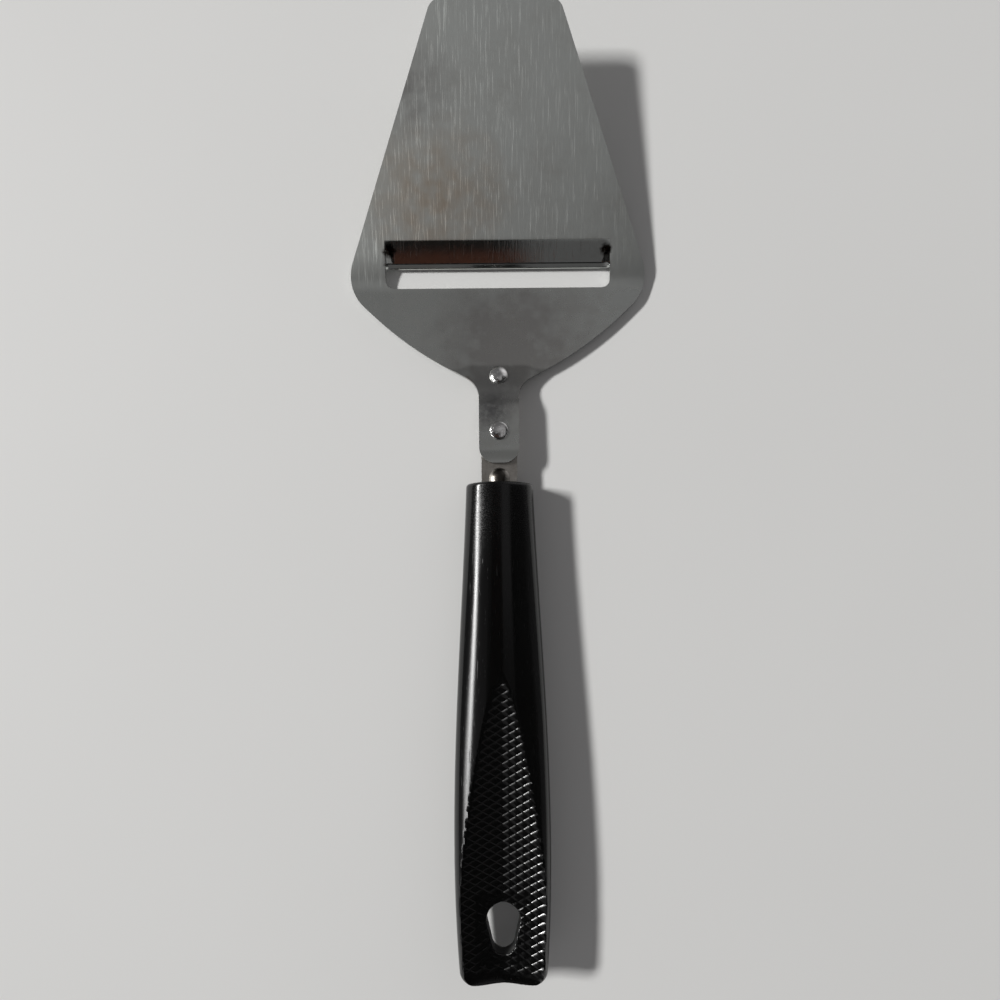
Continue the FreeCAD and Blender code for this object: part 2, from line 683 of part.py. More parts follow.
def lies_at(edge, place):
    """Tell whether an edge lies in the cross plane at a place along the handle."""
    return all(abs(vertex.Y - place) < Part.Precision.approximation() for vertex in edge.Vertexes)


bodies = [make_blade(), make_tang()]
bodies += [make_rivet(label, *place) for label, place in RIVETS.items()]
bodies.append(make_handle())
doc.recompute()

for item in doc.Objects:
    faults = {"Invalid", "Error"}.intersection(item.State)
    if faults:
        raise RuntimeError(f"{item.Label}: {', '.join(faults)} ({item.getStatusString()})")
for body in bodies:
    if body.Shape.isNull() or not body.Shape.isValid() or len(body.Shape.Solids) != 1:
        raise RuntimeError(f"{body.Label}: no single valid solid")

os.makedirs("parts", exist_ok=True)
for body in bodies:
    box = body.Shape.BoundBox
    print(f"{body.Label}: {body.Shape.Volume:.1f} mm3, {box}")
    body.Shape.exportStep(f"parts/{body.Label}.step")
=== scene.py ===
"""Looks of the cheese slicer: brushed blade, rough tang, bright rivets and a glossy checkered handle.

Shapes are worked out in millimetres in the slicer's own level frame: x to the right, y from the mouth of
the handle to the tip of the blade, and z up from the lower rim of the mouth. A piece's points are leaned
forward with the resting slicer and brought to metres in the shared frame only when its mesh is made.
"""

import logging
import math
from dataclasses import dataclass
from enum import Enum

import bmesh
import bpy
import numpy as np
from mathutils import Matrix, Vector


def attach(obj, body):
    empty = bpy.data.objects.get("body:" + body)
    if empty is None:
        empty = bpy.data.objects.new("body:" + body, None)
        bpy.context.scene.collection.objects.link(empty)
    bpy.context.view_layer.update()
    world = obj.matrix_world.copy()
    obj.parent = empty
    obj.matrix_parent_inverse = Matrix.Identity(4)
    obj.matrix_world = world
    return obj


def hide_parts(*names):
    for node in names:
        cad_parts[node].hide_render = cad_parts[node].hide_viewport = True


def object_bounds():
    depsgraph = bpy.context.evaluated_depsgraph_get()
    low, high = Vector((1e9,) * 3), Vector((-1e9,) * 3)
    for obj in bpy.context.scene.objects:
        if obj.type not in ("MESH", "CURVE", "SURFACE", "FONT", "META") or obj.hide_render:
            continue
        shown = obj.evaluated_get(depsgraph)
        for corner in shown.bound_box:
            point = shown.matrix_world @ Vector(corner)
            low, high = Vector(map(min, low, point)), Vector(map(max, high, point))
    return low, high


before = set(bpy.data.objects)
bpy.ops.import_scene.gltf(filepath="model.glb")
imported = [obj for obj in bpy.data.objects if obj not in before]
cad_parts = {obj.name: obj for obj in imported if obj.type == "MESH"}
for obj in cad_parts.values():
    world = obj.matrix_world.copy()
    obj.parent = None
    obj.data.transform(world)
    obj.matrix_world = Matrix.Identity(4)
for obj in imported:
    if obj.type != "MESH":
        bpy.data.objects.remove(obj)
CAD_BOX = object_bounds()

LOG = logging.getLogger("cheese_slicer")
METRE = 0.001
BODY = "root"
LEAN = math.radians(1.5)
WELD_GAP = 0.002
ON_LINE = 1e-6
BUMP_HEIGHT = 0.03 * METRE

Array = np.ndarray


class Axis(Enum):
    """Direction in which scratches run, as the stretch of their noise along x, y and z."""

    LENGTHWISE = (1.0, 0.035, 0.035)
    NONE = (1.0, 1.0, 1.0)


# Shared shape functions


def eased_corner(offset: Array, half_width: float) -> Array:
    """Ramp that is 0 before a corner and grows with slope 1 after it, eased by a parabola.

    Args:
        offset: Distance past the corner.
        half_width: Distance on each side of the corner over which the slope changes.

    Returns:
        max(offset, 0), with the corner replaced by (offset + half_width)^2 / (4 half_width).
    """
    eased = (offset + half_width) ** 2 / (4 * half_width)
    return np.where(offset < -half_width, 0.0, np.where(offset > half_width, offset, eased))


def smooth_step(value: Array, low: float, high: float) -> Array:
    """Rise from 0 at low to 1 at high along 3t^2 - 2t^3."""
    share = np.clip((value - low) / (high - low), 0.0, 1.0)
    return share * share * (3 - 2 * share)


def smooth_min(first: Array, second: Array, blend: float) -> Array:
    """Lesser of two fields, with the corner where they cross rounded over a blend length."""
    share = np.clip(0.5 + 0.5 * (second - first) / blend, 0.0, 1.0)
    return second * (1 - share) + first * share - blend * share * (1 - share)


def quarter_round(depth: Array, radius: float) -> Array:
    """Inset of a quarter circle at a depth behind the face that it runs into."""
    inside = np.clip(radius - depth, 0.0, radius)
    return radius - np.sqrt(radius**2 - inside**2)


def rounded_line(corners: list[tuple[float, float, float]], steps: int = 12) -> Array:
    """Open line through corners given as (across, along, radius), with each inner corner an arc.

    Args:
        corners: Corner points with the radius of each; the two ends have none.
        steps: Number of points on an arc.

    Returns:
        Points of the line, one row each.
    """
    sharp = np.array([corner[:2] for corner in corners])
    parts = [sharp[:1]]
    for index in range(1, len(corners) - 1):
        back = sharp[index - 1] - sharp[index]
        ahead = sharp[index + 1] - sharp[index]
        back /= np.linalg.norm(back)
        ahead /= np.linalg.norm(ahead)
        half = math.acos(np.clip(back @ ahead, -1, 1)) / 2
        radius = corners[index][2]
        bisector = (back + ahead) / np.linalg.norm(back + ahead)
        centre = sharp[index] + bisector * radius / math.sin(half)
        turn = np.linspace(-1, 1, steps)[:, None] * (math.pi / 2 - half)
        side = (ahead - back) / np.linalg.norm(ahead - back)
        parts.append(centre - radius * (np.cos(turn) * bisector - np.sin(turn) * side))
    parts.append(sharp[-1:])
    return np.vstack(parts)


def graded(*runs: tuple[float, float, float]) -> Array:
    """Places along a piece from runs (start, end, step), each ending where the next one starts."""
    pieces = [np.linspace(start, end, max(1, round((end - start) / step)), endpoint=False)
              for start, end, step in runs]
    return np.append(np.concatenate(pieces), runs[-1][1])


def grid_faces(rows: int, columns: int) -> Array:
    """Quads of a grid of points stored row by row."""
    index = np.arange(rows * columns).reshape(rows, columns)
    corners = (index[:-1, :-1], index[:-1, 1:], index[1:, 1:], index[1:, :-1])
    return np.stack([corner.ravel() for corner in corners], axis=1)


def grid_normals(points: Array) -> Array:
    """Unit normals of a grid of points, from the cross product of its two differences."""
    along = np.gradient(points, axis=0)
    across = np.gradient(points, axis=1)
    normal = np.cross(across, along)
    return normal / np.linalg.norm(normal, axis=2, keepdims=True)


def border_edges(faces: Array) -> Array:
    """Directed edges that belong to one face only."""
    edges = np.concatenate([np.stack([faces[:, i], faces[:, (i + 1) % faces.shape[1]]], axis=1)
                            for i in range(faces.shape[1])])
    key = np.sort(edges, axis=1)
    _, first, counts = np.unique(key, axis=0, return_index=True, return_counts=True)
    return edges[first[counts == 1]]


def in_frame(points: Array) -> Array:
    """Lean level points forward by the resting angle and bring them to metres in the shared frame.

    A lean by an angle t takes (y, z) to (y cos t + z sin t, z cos t - y sin t). The upper edge of the
    blade's tip is the foremost and highest point of the slicer, so it fixes the place of the frame.

    Args:
        points: Points in millimetres in the level frame, with x, y and z last.

    Returns:
        The points in metres.
    """
    lean = np.array([[1, 0, 0],
                     [0, math.cos(LEAN), math.sin(LEAN)],
                     [0, -math.sin(LEAN), math.cos(LEAN)]])
    tip = lean @ np.array([0.0, *BentLine().tip()])
    corner = np.array([0.0, CAD_BOX[1].y, CAD_BOX[1].z]) / METRE
    return (points @ lean.T + corner - tip) * METRE


def put_in_scene(name: str, content: bpy.types.ID) -> bpy.types.Object:
    """Make an object of a mesh, a lamp or a camera and link it to the scene."""
    made = bpy.data.objects.new(name, content)
    bpy.context.scene.collection.objects.link(made)
    return made


def make_piece(name: str, points: Array, faces: list[list[int]], flat: Array | None = None,
               sharp_deg: float = 35.0, masks: dict[str, Array] | None = None) -> bpy.types.Object:
    """Put points and faces into a mesh object that rides with the slicer.

    Args:
        name: Name of the piece.
        points: Points in millimetres in the level frame.
        faces: Corner lists of the faces.
        flat: True for each face that stays flat shaded.
        sharp_deg: Angle past which an edge between smooth faces is shaded sharp.
        masks: Values at the points by the name under which a finish reads them.

    Returns:
        The new object.
    """
    mesh = bpy.data.meshes.new(name)
    mesh.from_pydata(in_frame(points).tolist(), [], faces)
    for label, mask in (masks or {}).items():
        mesh.attributes.new(label, "FLOAT", "POINT").data.foreach_set("value", mask)
    smooth = np.ones(len(mesh.polygons), bool) if flat is None else ~flat
    mesh.polygons.foreach_set("use_smooth", smooth)
    edit = bmesh.new()
    edit.from_mesh(mesh)
    bmesh.ops.remove_doubles(edit, verts=edit.verts, dist=METRE * WELD_GAP)
    bmesh.ops.recalc_face_normals(edit, faces=edit.faces)
    edit.to_mesh(mesh)
    edit.free()
    mesh.set_sharp_from_angle(angle=math.radians(sharp_deg))
    piece = put_in_scene(name, mesh)
    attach(piece, BODY)
    LOG.info("%s: %d points, %d faces", name, len(mesh.vertices), len(mesh.polygons))
    return piece


def thick_sheet(name: str, lower: Array, thickness: Array, kept: Array) -> bpy.types.Object:
    """Closed sheet metal shell over a grid of points on its lower face.

    The upper face stands off the lower one by the thickness along the grid's normals, and walls close
    every border, the borders of openings too.

    Args:
        name: Name of the piece.
        lower: Grid of points on the lower face, rows by columns by 3.
        thickness: Thickness at each grid point.
        kept: True for each grid cell that has metal.

    Returns:
        The new object.
    """
    rows, columns, _ = lower.shape
    upper = lower + grid_normals(lower) * thickness[..., None]
    quads = grid_faces(rows, columns)[kept.ravel()]
    count = rows * columns
    rim = border_edges(quads)
    walls = np.stack([rim[:, 1], rim[:, 0], rim[:, 0] + count, rim[:, 1] + count], axis=1)
    faces = np.vstack([quads[:, ::-1], quads + count, walls])
    points = np.vstack([lower.reshape(-1, 3), upper.reshape(-1, 3)])
    used = np.unique(faces)
    renumber = np.zeros(len(points), int)
    renumber[used] = np.arange(len(used))
    return make_piece(name, points[used], renumber[faces].tolist())


# Sub-assemblies


@dataclass
class BentLine:
    """Side view of the steel: the bends of the blade's upper face, in millimetres and degrees."""

    tongue_end: float = 4.9
    neck_bend: float = 19.0
    ramp_foot: float = 23.2
    seat_end: float = 27.8
    rise_bend: float = 47.3
    reach: float = 105.5
    ramp_angle: float = 22.7
    seat_angle: float = 12.5
    rise_angle: float = 15.0
    bend_ease: float = 1.0
    seat_ease: float = 0.4
    rise_ease: float = 1.6
    sole_top: float = 3.11
    blade_thickness: float = 0.9
    tang_thickness: float = 1.4

    def slopes(self) -> tuple[float, float, float]:
        """Slopes of the ramp, the seat and the rising plate."""
        angles = (self.ramp_angle, self.seat_angle, self.rise_angle)
        return tuple(math.tan(math.radians(angle)) for angle in angles)

    def neck_top(self) -> float:
        """Height of the neck's upper face."""
        ramp, seat, _ = self.slopes()
        seat_rise = seat * (self.seat_end - self.ramp_foot)
        return self.sole_top + ramp * (self.ramp_foot - self.neck_bend) + seat_rise

    def top(self, along: Array) -> Array:
        """Height of the upper face: the neck's height plus one eased corner for each change of slope."""
        ramp, seat, rise = self.slopes()
        return (self.neck_top()
                - ramp * eased_corner(along - self.neck_bend, self.bend_ease)
                + (ramp - seat) * eased_corner(along - self.ramp_foot, self.bend_ease)
                + seat * eased_corner(along - self.seat_end, self.seat_ease)
                + rise * eased_corner(along - self.rise_bend, self.rise_ease))

    def tip(self) -> tuple[float, float]:
        """Place and height of the upper edge of the blade's tip."""
        return self.reach, self.sole_top + self.slopes()[2] * (self.reach - self.rise_bend)

    def below(self, along: Array, depth: float) -> Array:
        """Height of the line at a depth square to the upper face."""
        step = 0.01
        slope = (self.top(along + step) - self.top(along - step)) / (2 * step)
        return self.top(along) - depth * np.sqrt(1 + slope**2)


@dataclass
class Blade:
    """Stamped blade sheet with its slot, pressed cutting lip and neck. Lengths in millimetres."""

    line: BentLine
    neck_half: float = 4.6
    tongue_corner: float = 3.4
    neck_fillet: float = 6.0
    haunch: tuple[float, float] = (21.72, 32.82)
    haunch_round: float = 80.0
    shoulder: tuple[float, float] = (36.0, 46.3)
    shoulder_round: float = 9.6
    tip_half: float = 14.0
    tip_corner: float = 3.2
    slot_half: float = 26.25
    slot_back: float = 46.15
    slot_corner: float = 2.0
    lip_edge: float = 50.8
    lip_bend: float = 57.0
    lip_drop: float = 0.6
    lip_end_run: float = 2.1
    lip_corner: float = 1.8
    lip_ease: float = 0.7
    lip_blend: float = 0.12
    tongue_lift: float = 0.5
    tongue_run: float = 3.5
    seat_sag: float = 0.9
    sag_across: tuple[float, float] = (6.0, 9.5)
    sag_along: tuple[float, float] = (33.0, 40.0)
    edge_grind: float = 1.2
    edge_share: float = 0.12
    inner_share: float = 0.76
    block_before: tuple[float, float] = (14.0, 1.0)
    block_after: tuple[float, float] = (1.0, 16.0)
    inner_columns: int = 97
    outer_columns: int = 14
    end_rows: int = 11

    def half_width(self, along: Array) -> Array:
        """Half width of the outline, read off a line of straight runs and arcs."""
        outline = rounded_line([
            (0.0, self.line.tongue_end, 0.0),
            (self.neck_half, self.line.tongue_end, self.tongue_corner),
            (self.neck_half, self.line.ramp_foot, self.neck_fillet),
            (*self.haunch, self.haunch_round),
            (*self.shoulder, self.shoulder_round),
            (self.tip_half, self.line.reach, self.tip_corner),
            (0.0, self.line.reach, 0.0),
        ], steps=24)[1:-1]
        return np.interp(along, outline[:, 1], outline[:, 0])

    def rows(self) -> Array:
        """Places of the grid's rows, close together at the rounded ends, the bends and the lip."""
        ends = np.linspace(0, math.pi / 2, self.end_rows)
        start = self.line.tongue_end + self.tongue_corner * (1 - np.cos(ends))
        finish = self.line.reach - self.tip_corner * (1 - np.cos(ends[::-1]))
        margin = 1.5
        past_neck = self.line.neck_bend - margin
        past_foot = self.line.ramp_foot + margin
        past_seat = self.line.seat_end + margin
        past_lip = self.lip_bend + 2 * margin
        middle = graded(
            (start[-1], past_neck, 0.9),
            (past_neck, past_foot, 0.25),
            (past_foot, past_seat, 0.4),
            (past_seat, self.slot_back, 0.9),
            (self.slot_back, self.slot_back + self.slot_corner, 0.14),
            (self.slot_back + self.slot_corner, self.lip_edge, 0.5),
            (self.lip_edge, self.lip_bend, 0.2),
            (self.lip_bend, past_lip, 0.3),
            (past_lip, finish[0], 1.2),
        )
        return np.concatenate([start, middle[1:-1], finish])

    def inner_half(self, along: Array) -> Array:
        """Half length of the middle block of columns, whose border is the end of the slot."""
        share = self.inner_share * self.half_width(along)
        before = [self.slot_back - gap for gap in self.block_before]
        after = [self.lip_bend + gap for gap in self.block_after]
        near = smooth_step(along, *before) * (1 - smooth_step(along, *after))
        corner = quarter_round(np.maximum(along - self.slot_back, 0.0), self.slot_corner)
        return share + (self.slot_half - corner - share) * near

    def grid(self) -> tuple[Array, Array]:
        """Plan places of the grid points, as two arrays of rows by columns."""
        along = self.rows()
        inner = np.linspace(-1, 1, self.inner_columns)
        outer = np.linspace(0, 1, self.outer_columns)[1:]
        block = self.inner_half(along)[:, None]
        margin = self.half_width(along)[:, None] - block
        across = np.hstack([
            -block - margin * outer[::-1],
            block * inner,
            block + margin * outer,
        ])
        return across, np.broadcast_to(along[:, None], across.shape)

    def lip_depth(self, across: Array, along: Array) -> Array:
        """Depth to which the lip is pressed below the plate: a ramp from its bend, cut off by its ends.

        In a rounded corner both the ramp and the end wall start from the distance inside the corner's arc.
        """
        behind = np.maximum(self.lip_bend - along, 0.0)
        beside = np.maximum(self.slot_half - np.abs(across), 0.0)
        short = self.lip_corner - np.stack([behind, beside])
        in_arc = np.maximum(self.lip_corner - np.hypot(*short), 0.0)
        in_corner = (short > 0).all(axis=0)
        behind = np.where(in_corner, np.minimum(behind, in_arc), behind)
        beside = np.where(in_corner, np.minimum(beside, in_arc), beside)
        ramp = eased_corner(behind, self.lip_ease) * self.lip_drop / (self.lip_bend - self.lip_edge)
        wall = beside * self.lip_drop / self.lip_end_run
        depth = smooth_min(ramp, wall, self.lip_blend)
        in_lip = (along >= self.lip_edge - ON_LINE) & (along <= self.lip_bend + ON_LINE)
        return np.where(in_lip, np.maximum(depth, 0.0), 0.0)

    def build(self) -> bpy.types.Object:
        """Make the blade's closed sheet.

        Returns:
            The blade piece, which stands for its solid.
        """
        across, along = self.grid()
        depth = self.lip_depth(across, along)
        tongue_end = self.line.tongue_end
        lift = self.tongue_lift * (1 - smooth_step(along, tongue_end, tongue_end + self.tongue_run))
        at_sides = smooth_step(np.abs(across), *self.sag_across) * (1 - smooth_step(along, *self.sag_along))
        bent_at = along + self.seat_sag * at_sides
        height = self.line.below(bent_at, self.line.blade_thickness) - depth + lift
        lower = np.stack([across, along, height], axis=2)
        past_edge = (along - self.lip_edge) / self.edge_grind
        ground = np.clip(self.edge_share + (1 - self.edge_share) * past_edge, self.edge_share, 1.0)
        in_lip = (along >= self.lip_edge - ON_LINE) & (np.abs(across) < self.slot_half)
        thickness = self.line.blade_thickness * np.where(in_lip, ground, 1.0)
        columns = across.shape[1]
        cell_start = along[:-1, :-1]
        column = np.arange(columns - 1)[None, :]
        in_block = (column >= self.outer_columns - 1) & (column < columns - self.outer_columns)
        in_slot = (cell_start >= self.slot_back - ON_LINE) & (cell_start < self.lip_edge - ON_LINE)
        piece = thick_sheet("blade_sheet", lower, thickness, ~(in_block & in_slot))
        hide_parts("blade")
        return piece


@dataclass
class Tang:
    """Rough strip under the neck, with the pressed bead that runs into the handle. Millimetres."""

    line: BentLine
    half_width: float = 4.15
    front: float = 28.2
    back: float = -60.0
    corner: float = 2.0
    bead_radius: float = 2.0
    bead_height: float = 1.0
    bead_reach: float = 1.35
    bead_back: float = -9.0
    shear_depth: float = 0.09
    shear_waves: tuple[float, float] = (7.3, 2.9)
    shear_phase: float = 1.0
    columns: int = 33
    end_rows: int = 9

    def bead(self, across: Array, along: Array) -> Array:
        """Rise of the bead: a round ridge of the bead's radius with a ball-shaped front end."""
        ahead = np.maximum(along - self.bead_reach, 0.0)
        axis_depth = self.bead_radius - self.bead_height
        gap_squared = self.bead_radius**2 - across**2 - ahead**2
        rise = np.sqrt(np.maximum(gap_squared, 0.0)) - axis_depth
        rise = np.where(along < self.bead_back, 0.0, rise)
        return np.maximum(rise, 0.0)

    def build(self) -> bpy.types.Object:
        """Make the tang's closed strip, with sheared edges that are not quite straight.

        Returns:
            The tang piece, which stands for its solid.
        """
        ends = np.linspace(0, math.pi / 2, self.end_rows)
        along = np.concatenate([
            self.back + self.corner * (1 - np.cos(ends)),
            graded(
                (self.back + self.corner, self.bead_back - 1.0, 1.5),
                (self.bead_back - 1.0, -2.0, 0.5),
                (-2.0, 5.0, 0.14),
                (5.0, 15.5, 0.35),
                (15.5, 24.5, 0.25),
                (24.5, self.front - self.corner, 0.35),
            )[1:-1],
            self.front - self.corner * (1 - np.cos(ends[::-1])),
        ])
        from_end = np.minimum(along - self.back, self.front - along)
        quick, slow = self.shear_waves
        shear = self.shear_depth * np.sin(along * quick) * np.sin(along * slow + self.shear_phase)
        half = self.half_width - quarter_round(from_end, self.corner) - np.abs(shear)
        across = half[:, None] * np.linspace(-1, 1, self.columns)[None, :]
        place = np.broadcast_to(along[:, None], across.shape)
        depth = self.line.blade_thickness + self.line.tang_thickness
        height = self.line.below(place, depth) + self.bead(across, place)
        lower = np.stack([across, place, height], axis=2)
        kept = np.ones((across.shape[0] - 1, across.shape[1] - 1), bool)
        thickness = np.full(across.shape, self.line.tang_thickness)
        piece = thick_sheet("tang_strip", lower, thickness, kept)
        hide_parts("tang")
        return piece


@dataclass
class Rivet:
    """Set rivet through the blade and the tang: a turned profile, tilted to its seat. Millimetres."""

    node: str
    along: float
    height: float
    tilt_deg: float
    dome_height: float
    rim_height: float
    grip: float
    head_radius: float = 2.15
    shank_radius: float = 1.3
    tail_height: float = 0.45
    tail_rim_share: float = 0.3
    side_power: float = 0.85
    dome_power: float = 1.3
    rim_steepness: float = 3.0
    segments: int = 56

    def cap(self, height: float, rim: float, steps: int = 14) -> Array:
        """Profile of a head from its rim to its pole: a short rounded rim below a flattened dome."""
        turn = np.linspace(0, math.pi / 2, steps)
        radius = self.head_radius * np.cos(turn) ** self.side_power
        on_rim = rim * np.minimum(1.0, np.sin(turn) * self.rim_steepness)
        rise = on_rim + (height - rim) * np.sin(turn) ** self.dome_power
        return np.stack([radius, rise], axis=1)

    def build(self) -> bpy.types.Object:
        """Make the rivet by turning its profile about its axis.

        Returns:
            The rivet piece, which stands for its solid.
        """
        head = self.cap(self.dome_height, self.rim_height)
        tail_rim = self.tail_height * self.tail_rim_share
        tail = self.cap(self.tail_height, tail_rim) * (1, -1) - (0, self.grip)
        shank = np.array([(self.shank_radius, 0.0), (self.shank_radius, -self.grip)])
        profile = np.vstack([head[::-1], shank, tail])
        angle = np.linspace(0, 2 * math.pi, self.segments + 1)
        radius = profile[:, :1]
        rise = np.broadcast_to(profile[:, 1:], (len(profile), len(angle)))
        x = radius * np.cos(angle)
        y = radius * np.sin(angle)
        tilt = math.radians(-self.tilt_deg)
        tilted_y = y * math.cos(tilt) - rise * math.sin(tilt)
        tilted_z = y * math.sin(tilt) + rise * math.cos(tilt)
        points = np.stack([x, tilted_y + self.along, tilted_z + self.height], axis=2)
        faces = grid_faces(*points.shape[:2])
        piece = make_piece(f"{self.node}_head", points.reshape(-1, 3), faces.tolist(), sharp_deg=50)
        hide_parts(self.node)
        return piece


@dataclass
class Handle:
    """Moulded grip with two checkered panels and the hanging hole.

    Lengths are in millimetres, and places run back from the mouth.
    """

    axis_height: float = 5.429
    length: float = 112.6
    stations: tuple[float, ...] = (0.0, 44.4, 77.7, 112.6)
    half_widths: tuple[float, ...] = (7.65, 9.9, 11.0, 9.8)
    half_heights: tuple[float, ...] = (5.45, 5.35, 5.45, 5.2)
    crown_radii: tuple[float, ...] = (12.0, 16.0, 20.0, 18.0)
    mouth_round: float = 0.8
    mouth_arch: float = 0.5
    mouth_run: float = 6.0
    mouth_rows: int = 8
    butt_round: float = 2.4
    butt_dip: float = 0.65
    butt_dip_half: float = 7.2
    butt_run: float = 6.5
    butt_rows: int = 14
    panel_start: float = 42.1
    valley_slope_deg: float = 3.63
    valley_side_deg: float = 4.2
    valley_level: float = 94.0
    valley_ease: float = 2.0
    dish_share: float = 0.34
    lower_share: float = 0.75
    column_pitch: float = 1.55
    row_pitch: float = 1.97
    groove_depth: float = 0.17
    flat_share: float = 0.62
    groove_fade: float = 0.15
    groove_end: tuple[float, float] = (2.6, 1.2)
    panel_rim: float = 0.05
    panel_end: float = 1.5
    cells_per_column: int = 4
    cells_per_row: int = 8
    lattice_columns: int = 6
    lattice_share: float = 0.95
    plain_step: float = 1.1
    flank_columns: int = 9
    hole_start: float = 94.6
    hole_end: float = 106.3
    hole_big: float = 3.8
    hole_small: float = 2.6
    hole_round: float = 0.3
    hole_margin: float = 2.2
    hole_block_columns: int = 16
    hole_rings: int = 18
    ring_power: float = 1.5
    wall_rings: int = 9

    def between_stations(self, sizes: tuple[float, ...], place: Array) -> Array:
        """Size of the section at a place: the cubic through its sizes at the four stations."""
        return np.polyval(np.polyfit(self.stations, sizes, 3), place)

    def inset(self, place: Array) -> Array:
        """How far the rounded mouth and butt draw the section in."""
        return quarter_round(place, self.mouth_round) + quarter_round(self.length - place, self.butt_round)

    def crown(self, across: Array, place: Array) -> Array:
        """Height of the oval above the axis: a broad crown arc joined to a flank arc on each side.

        With half width a, half height b and crown radius R, the flank radius is
        (2Rb - a^2 - b^2) / (2(R - a)), and the two arcs meet on the line through their centres.
        """
        drawn = self.inset(place)
        a = self.between_stations(self.half_widths, place) - drawn
        b = self.between_stations(self.half_heights, place) - drawn
        big = self.between_stations(self.crown_radii, place)
        flank = (2 * big * b - a**2 - b**2) / (2 * (big - a))
        centre = a - flank
        meet = centre + flank * centre / (big - flank)
        side = np.abs(across)
        on_crown = np.sqrt(np.maximum(big**2 - side**2, 0.0)) - (big - b)
        on_flank = np.sqrt(np.maximum(flank**2 - (side - centre) ** 2, 0.0))
        return np.where(side < meet, on_crown, on_flank)

    def valley(self, across: Array, place: Array, side: int) -> Array:
        """Height of the panel's V valley off the axis, falling to the hanging hole and then level."""
        fall = math.tan(math.radians(self.valley_slope_deg)) * (1.0 if side > 0 else self.lower_share)
        climb = math.tan(math.radians(self.valley_side_deg))
        run = (place - self.panel_start) - eased_corner(place - self.valley_level, self.valley_ease)
        return self.half_heights[1] - fall * run + climb * np.abs(across)

    def checker(self, across: Array, place: Array) -> Array:
        """Depth of the checkering, from 0 on its flat-topped diamonds to 1 in its two groove families."""
        along = (place - self.panel_start) / self.row_pitch
        aside = across / (2 * self.column_pitch)
        first = along + aside
        second = along - aside
        from_tip = 2 * np.maximum(np.abs(first - np.round(first)), np.abs(second - np.round(second)))
        return np.maximum(from_tip - self.flat_share, 0.0) / (1 - self.flat_share)

    def height(self, across: Array, place: Array, side: int = 1) -> tuple[Array, Array]:
        """Distance of a surface from the axis, and how far the point is inside the panel.

        Args:
            across: Places across.
            place: Places back from the mouth.
            side: 1 for the upper surface, whose panel is dished, and -1 for the lower one, whose panel is
                shallower.

        Returns:
            The distance, and the crown's height over the panel's valley.
        """
        crown = self.crown(across, place)
        valley = self.valley(across, place, side)
        inside = crown - valley
        dish = self.dish_share * np.maximum(inside, 0.0) * (side > 0)
        last_groove, end = [self.length - gap for gap in self.groove_end]
        fade = smooth_step(inside, 0.0, self.groove_fade) * (1 - smooth_step(place, last_groove, end))
        groove = self.groove_depth * self.checker(across, place) * fade
        return np.minimum(crown, valley - dish - groove), inside

    def shift(self, across: Array, place: Array) -> Array:
        """Place along y: the mouth's face is slightly arched and the butt's has a shallow dip."""
        arch = self.mouth_arch * (1 - (across / self.half_widths[0]) ** 2)
        dip = self.butt_dip * np.maximum(1 - (across / self.butt_dip_half) ** 2, 0.0)
        return (-place + arch * (1 - smooth_step(place, 0.0, self.mouth_run))
                + dip * smooth_step(place, self.length - self.butt_run, self.length))

    def rows(self) -> Array:
        """Places of the grid's rows.

        From the panel's start they lie on the lattice of the checkering, so that its grooves run on the
        diagonals of grid cells.
        """
        step = self.row_pitch / self.cells_per_row
        mouth = self.mouth_round * (1 - np.cos(np.linspace(0, math.pi / 2, self.mouth_rows)))
        smooth = graded((self.mouth_round, self.panel_start - step, self.plain_step))[1:]
        count = int((self.length - self.butt_round - self.panel_start) / step)
        panel = self.panel_start + step * np.arange(count + 1)
        butt = self.length - self.butt_round * (1 - np.cos(np.linspace(math.pi / 2, 0, self.butt_rows)))
        return np.concatenate([mouth, smooth, panel, butt[butt > panel[-1] + step / 2]])

    def grid(self) -> tuple[Array, Array]:
        """Plan places of the grid points, as two arrays of rows by columns."""
        place = self.rows()[:, None]
        half = self.between_stations(self.half_widths, place) - self.inset(place)
        cells = self.cells_per_column * self.lattice_columns
        lattice_half = self.column_pitch * self.lattice_columns
        block = np.minimum(lattice_half, self.lattice_share * half)
        inner = np.linspace(-1, 1, 2 * cells + 1)
        outer = np.sin(np.linspace(0, math.pi / 2, self.flank_columns + 1))[1:]
        margin = half - block
        across = np.hstack([-block - margin * outer[::-1], block * inner, block + margin * outer])
        return across, np.broadcast_to(place, across.shape)

    def hole_block(self, place: Array) -> tuple[int, int, int, int]:
        """First and last row and column of the block of the grid that the hanging hole's patch takes."""
        rows = place[:, 0]
        first = int(np.searchsorted(rows, self.hole_start - self.hole_margin))
        last = int(np.searchsorted(rows, self.hole_end + self.hole_margin))
        middle = place.shape[1] // 2
        return first, last, middle - self.hole_block_columns, middle + self.hole_block_columns

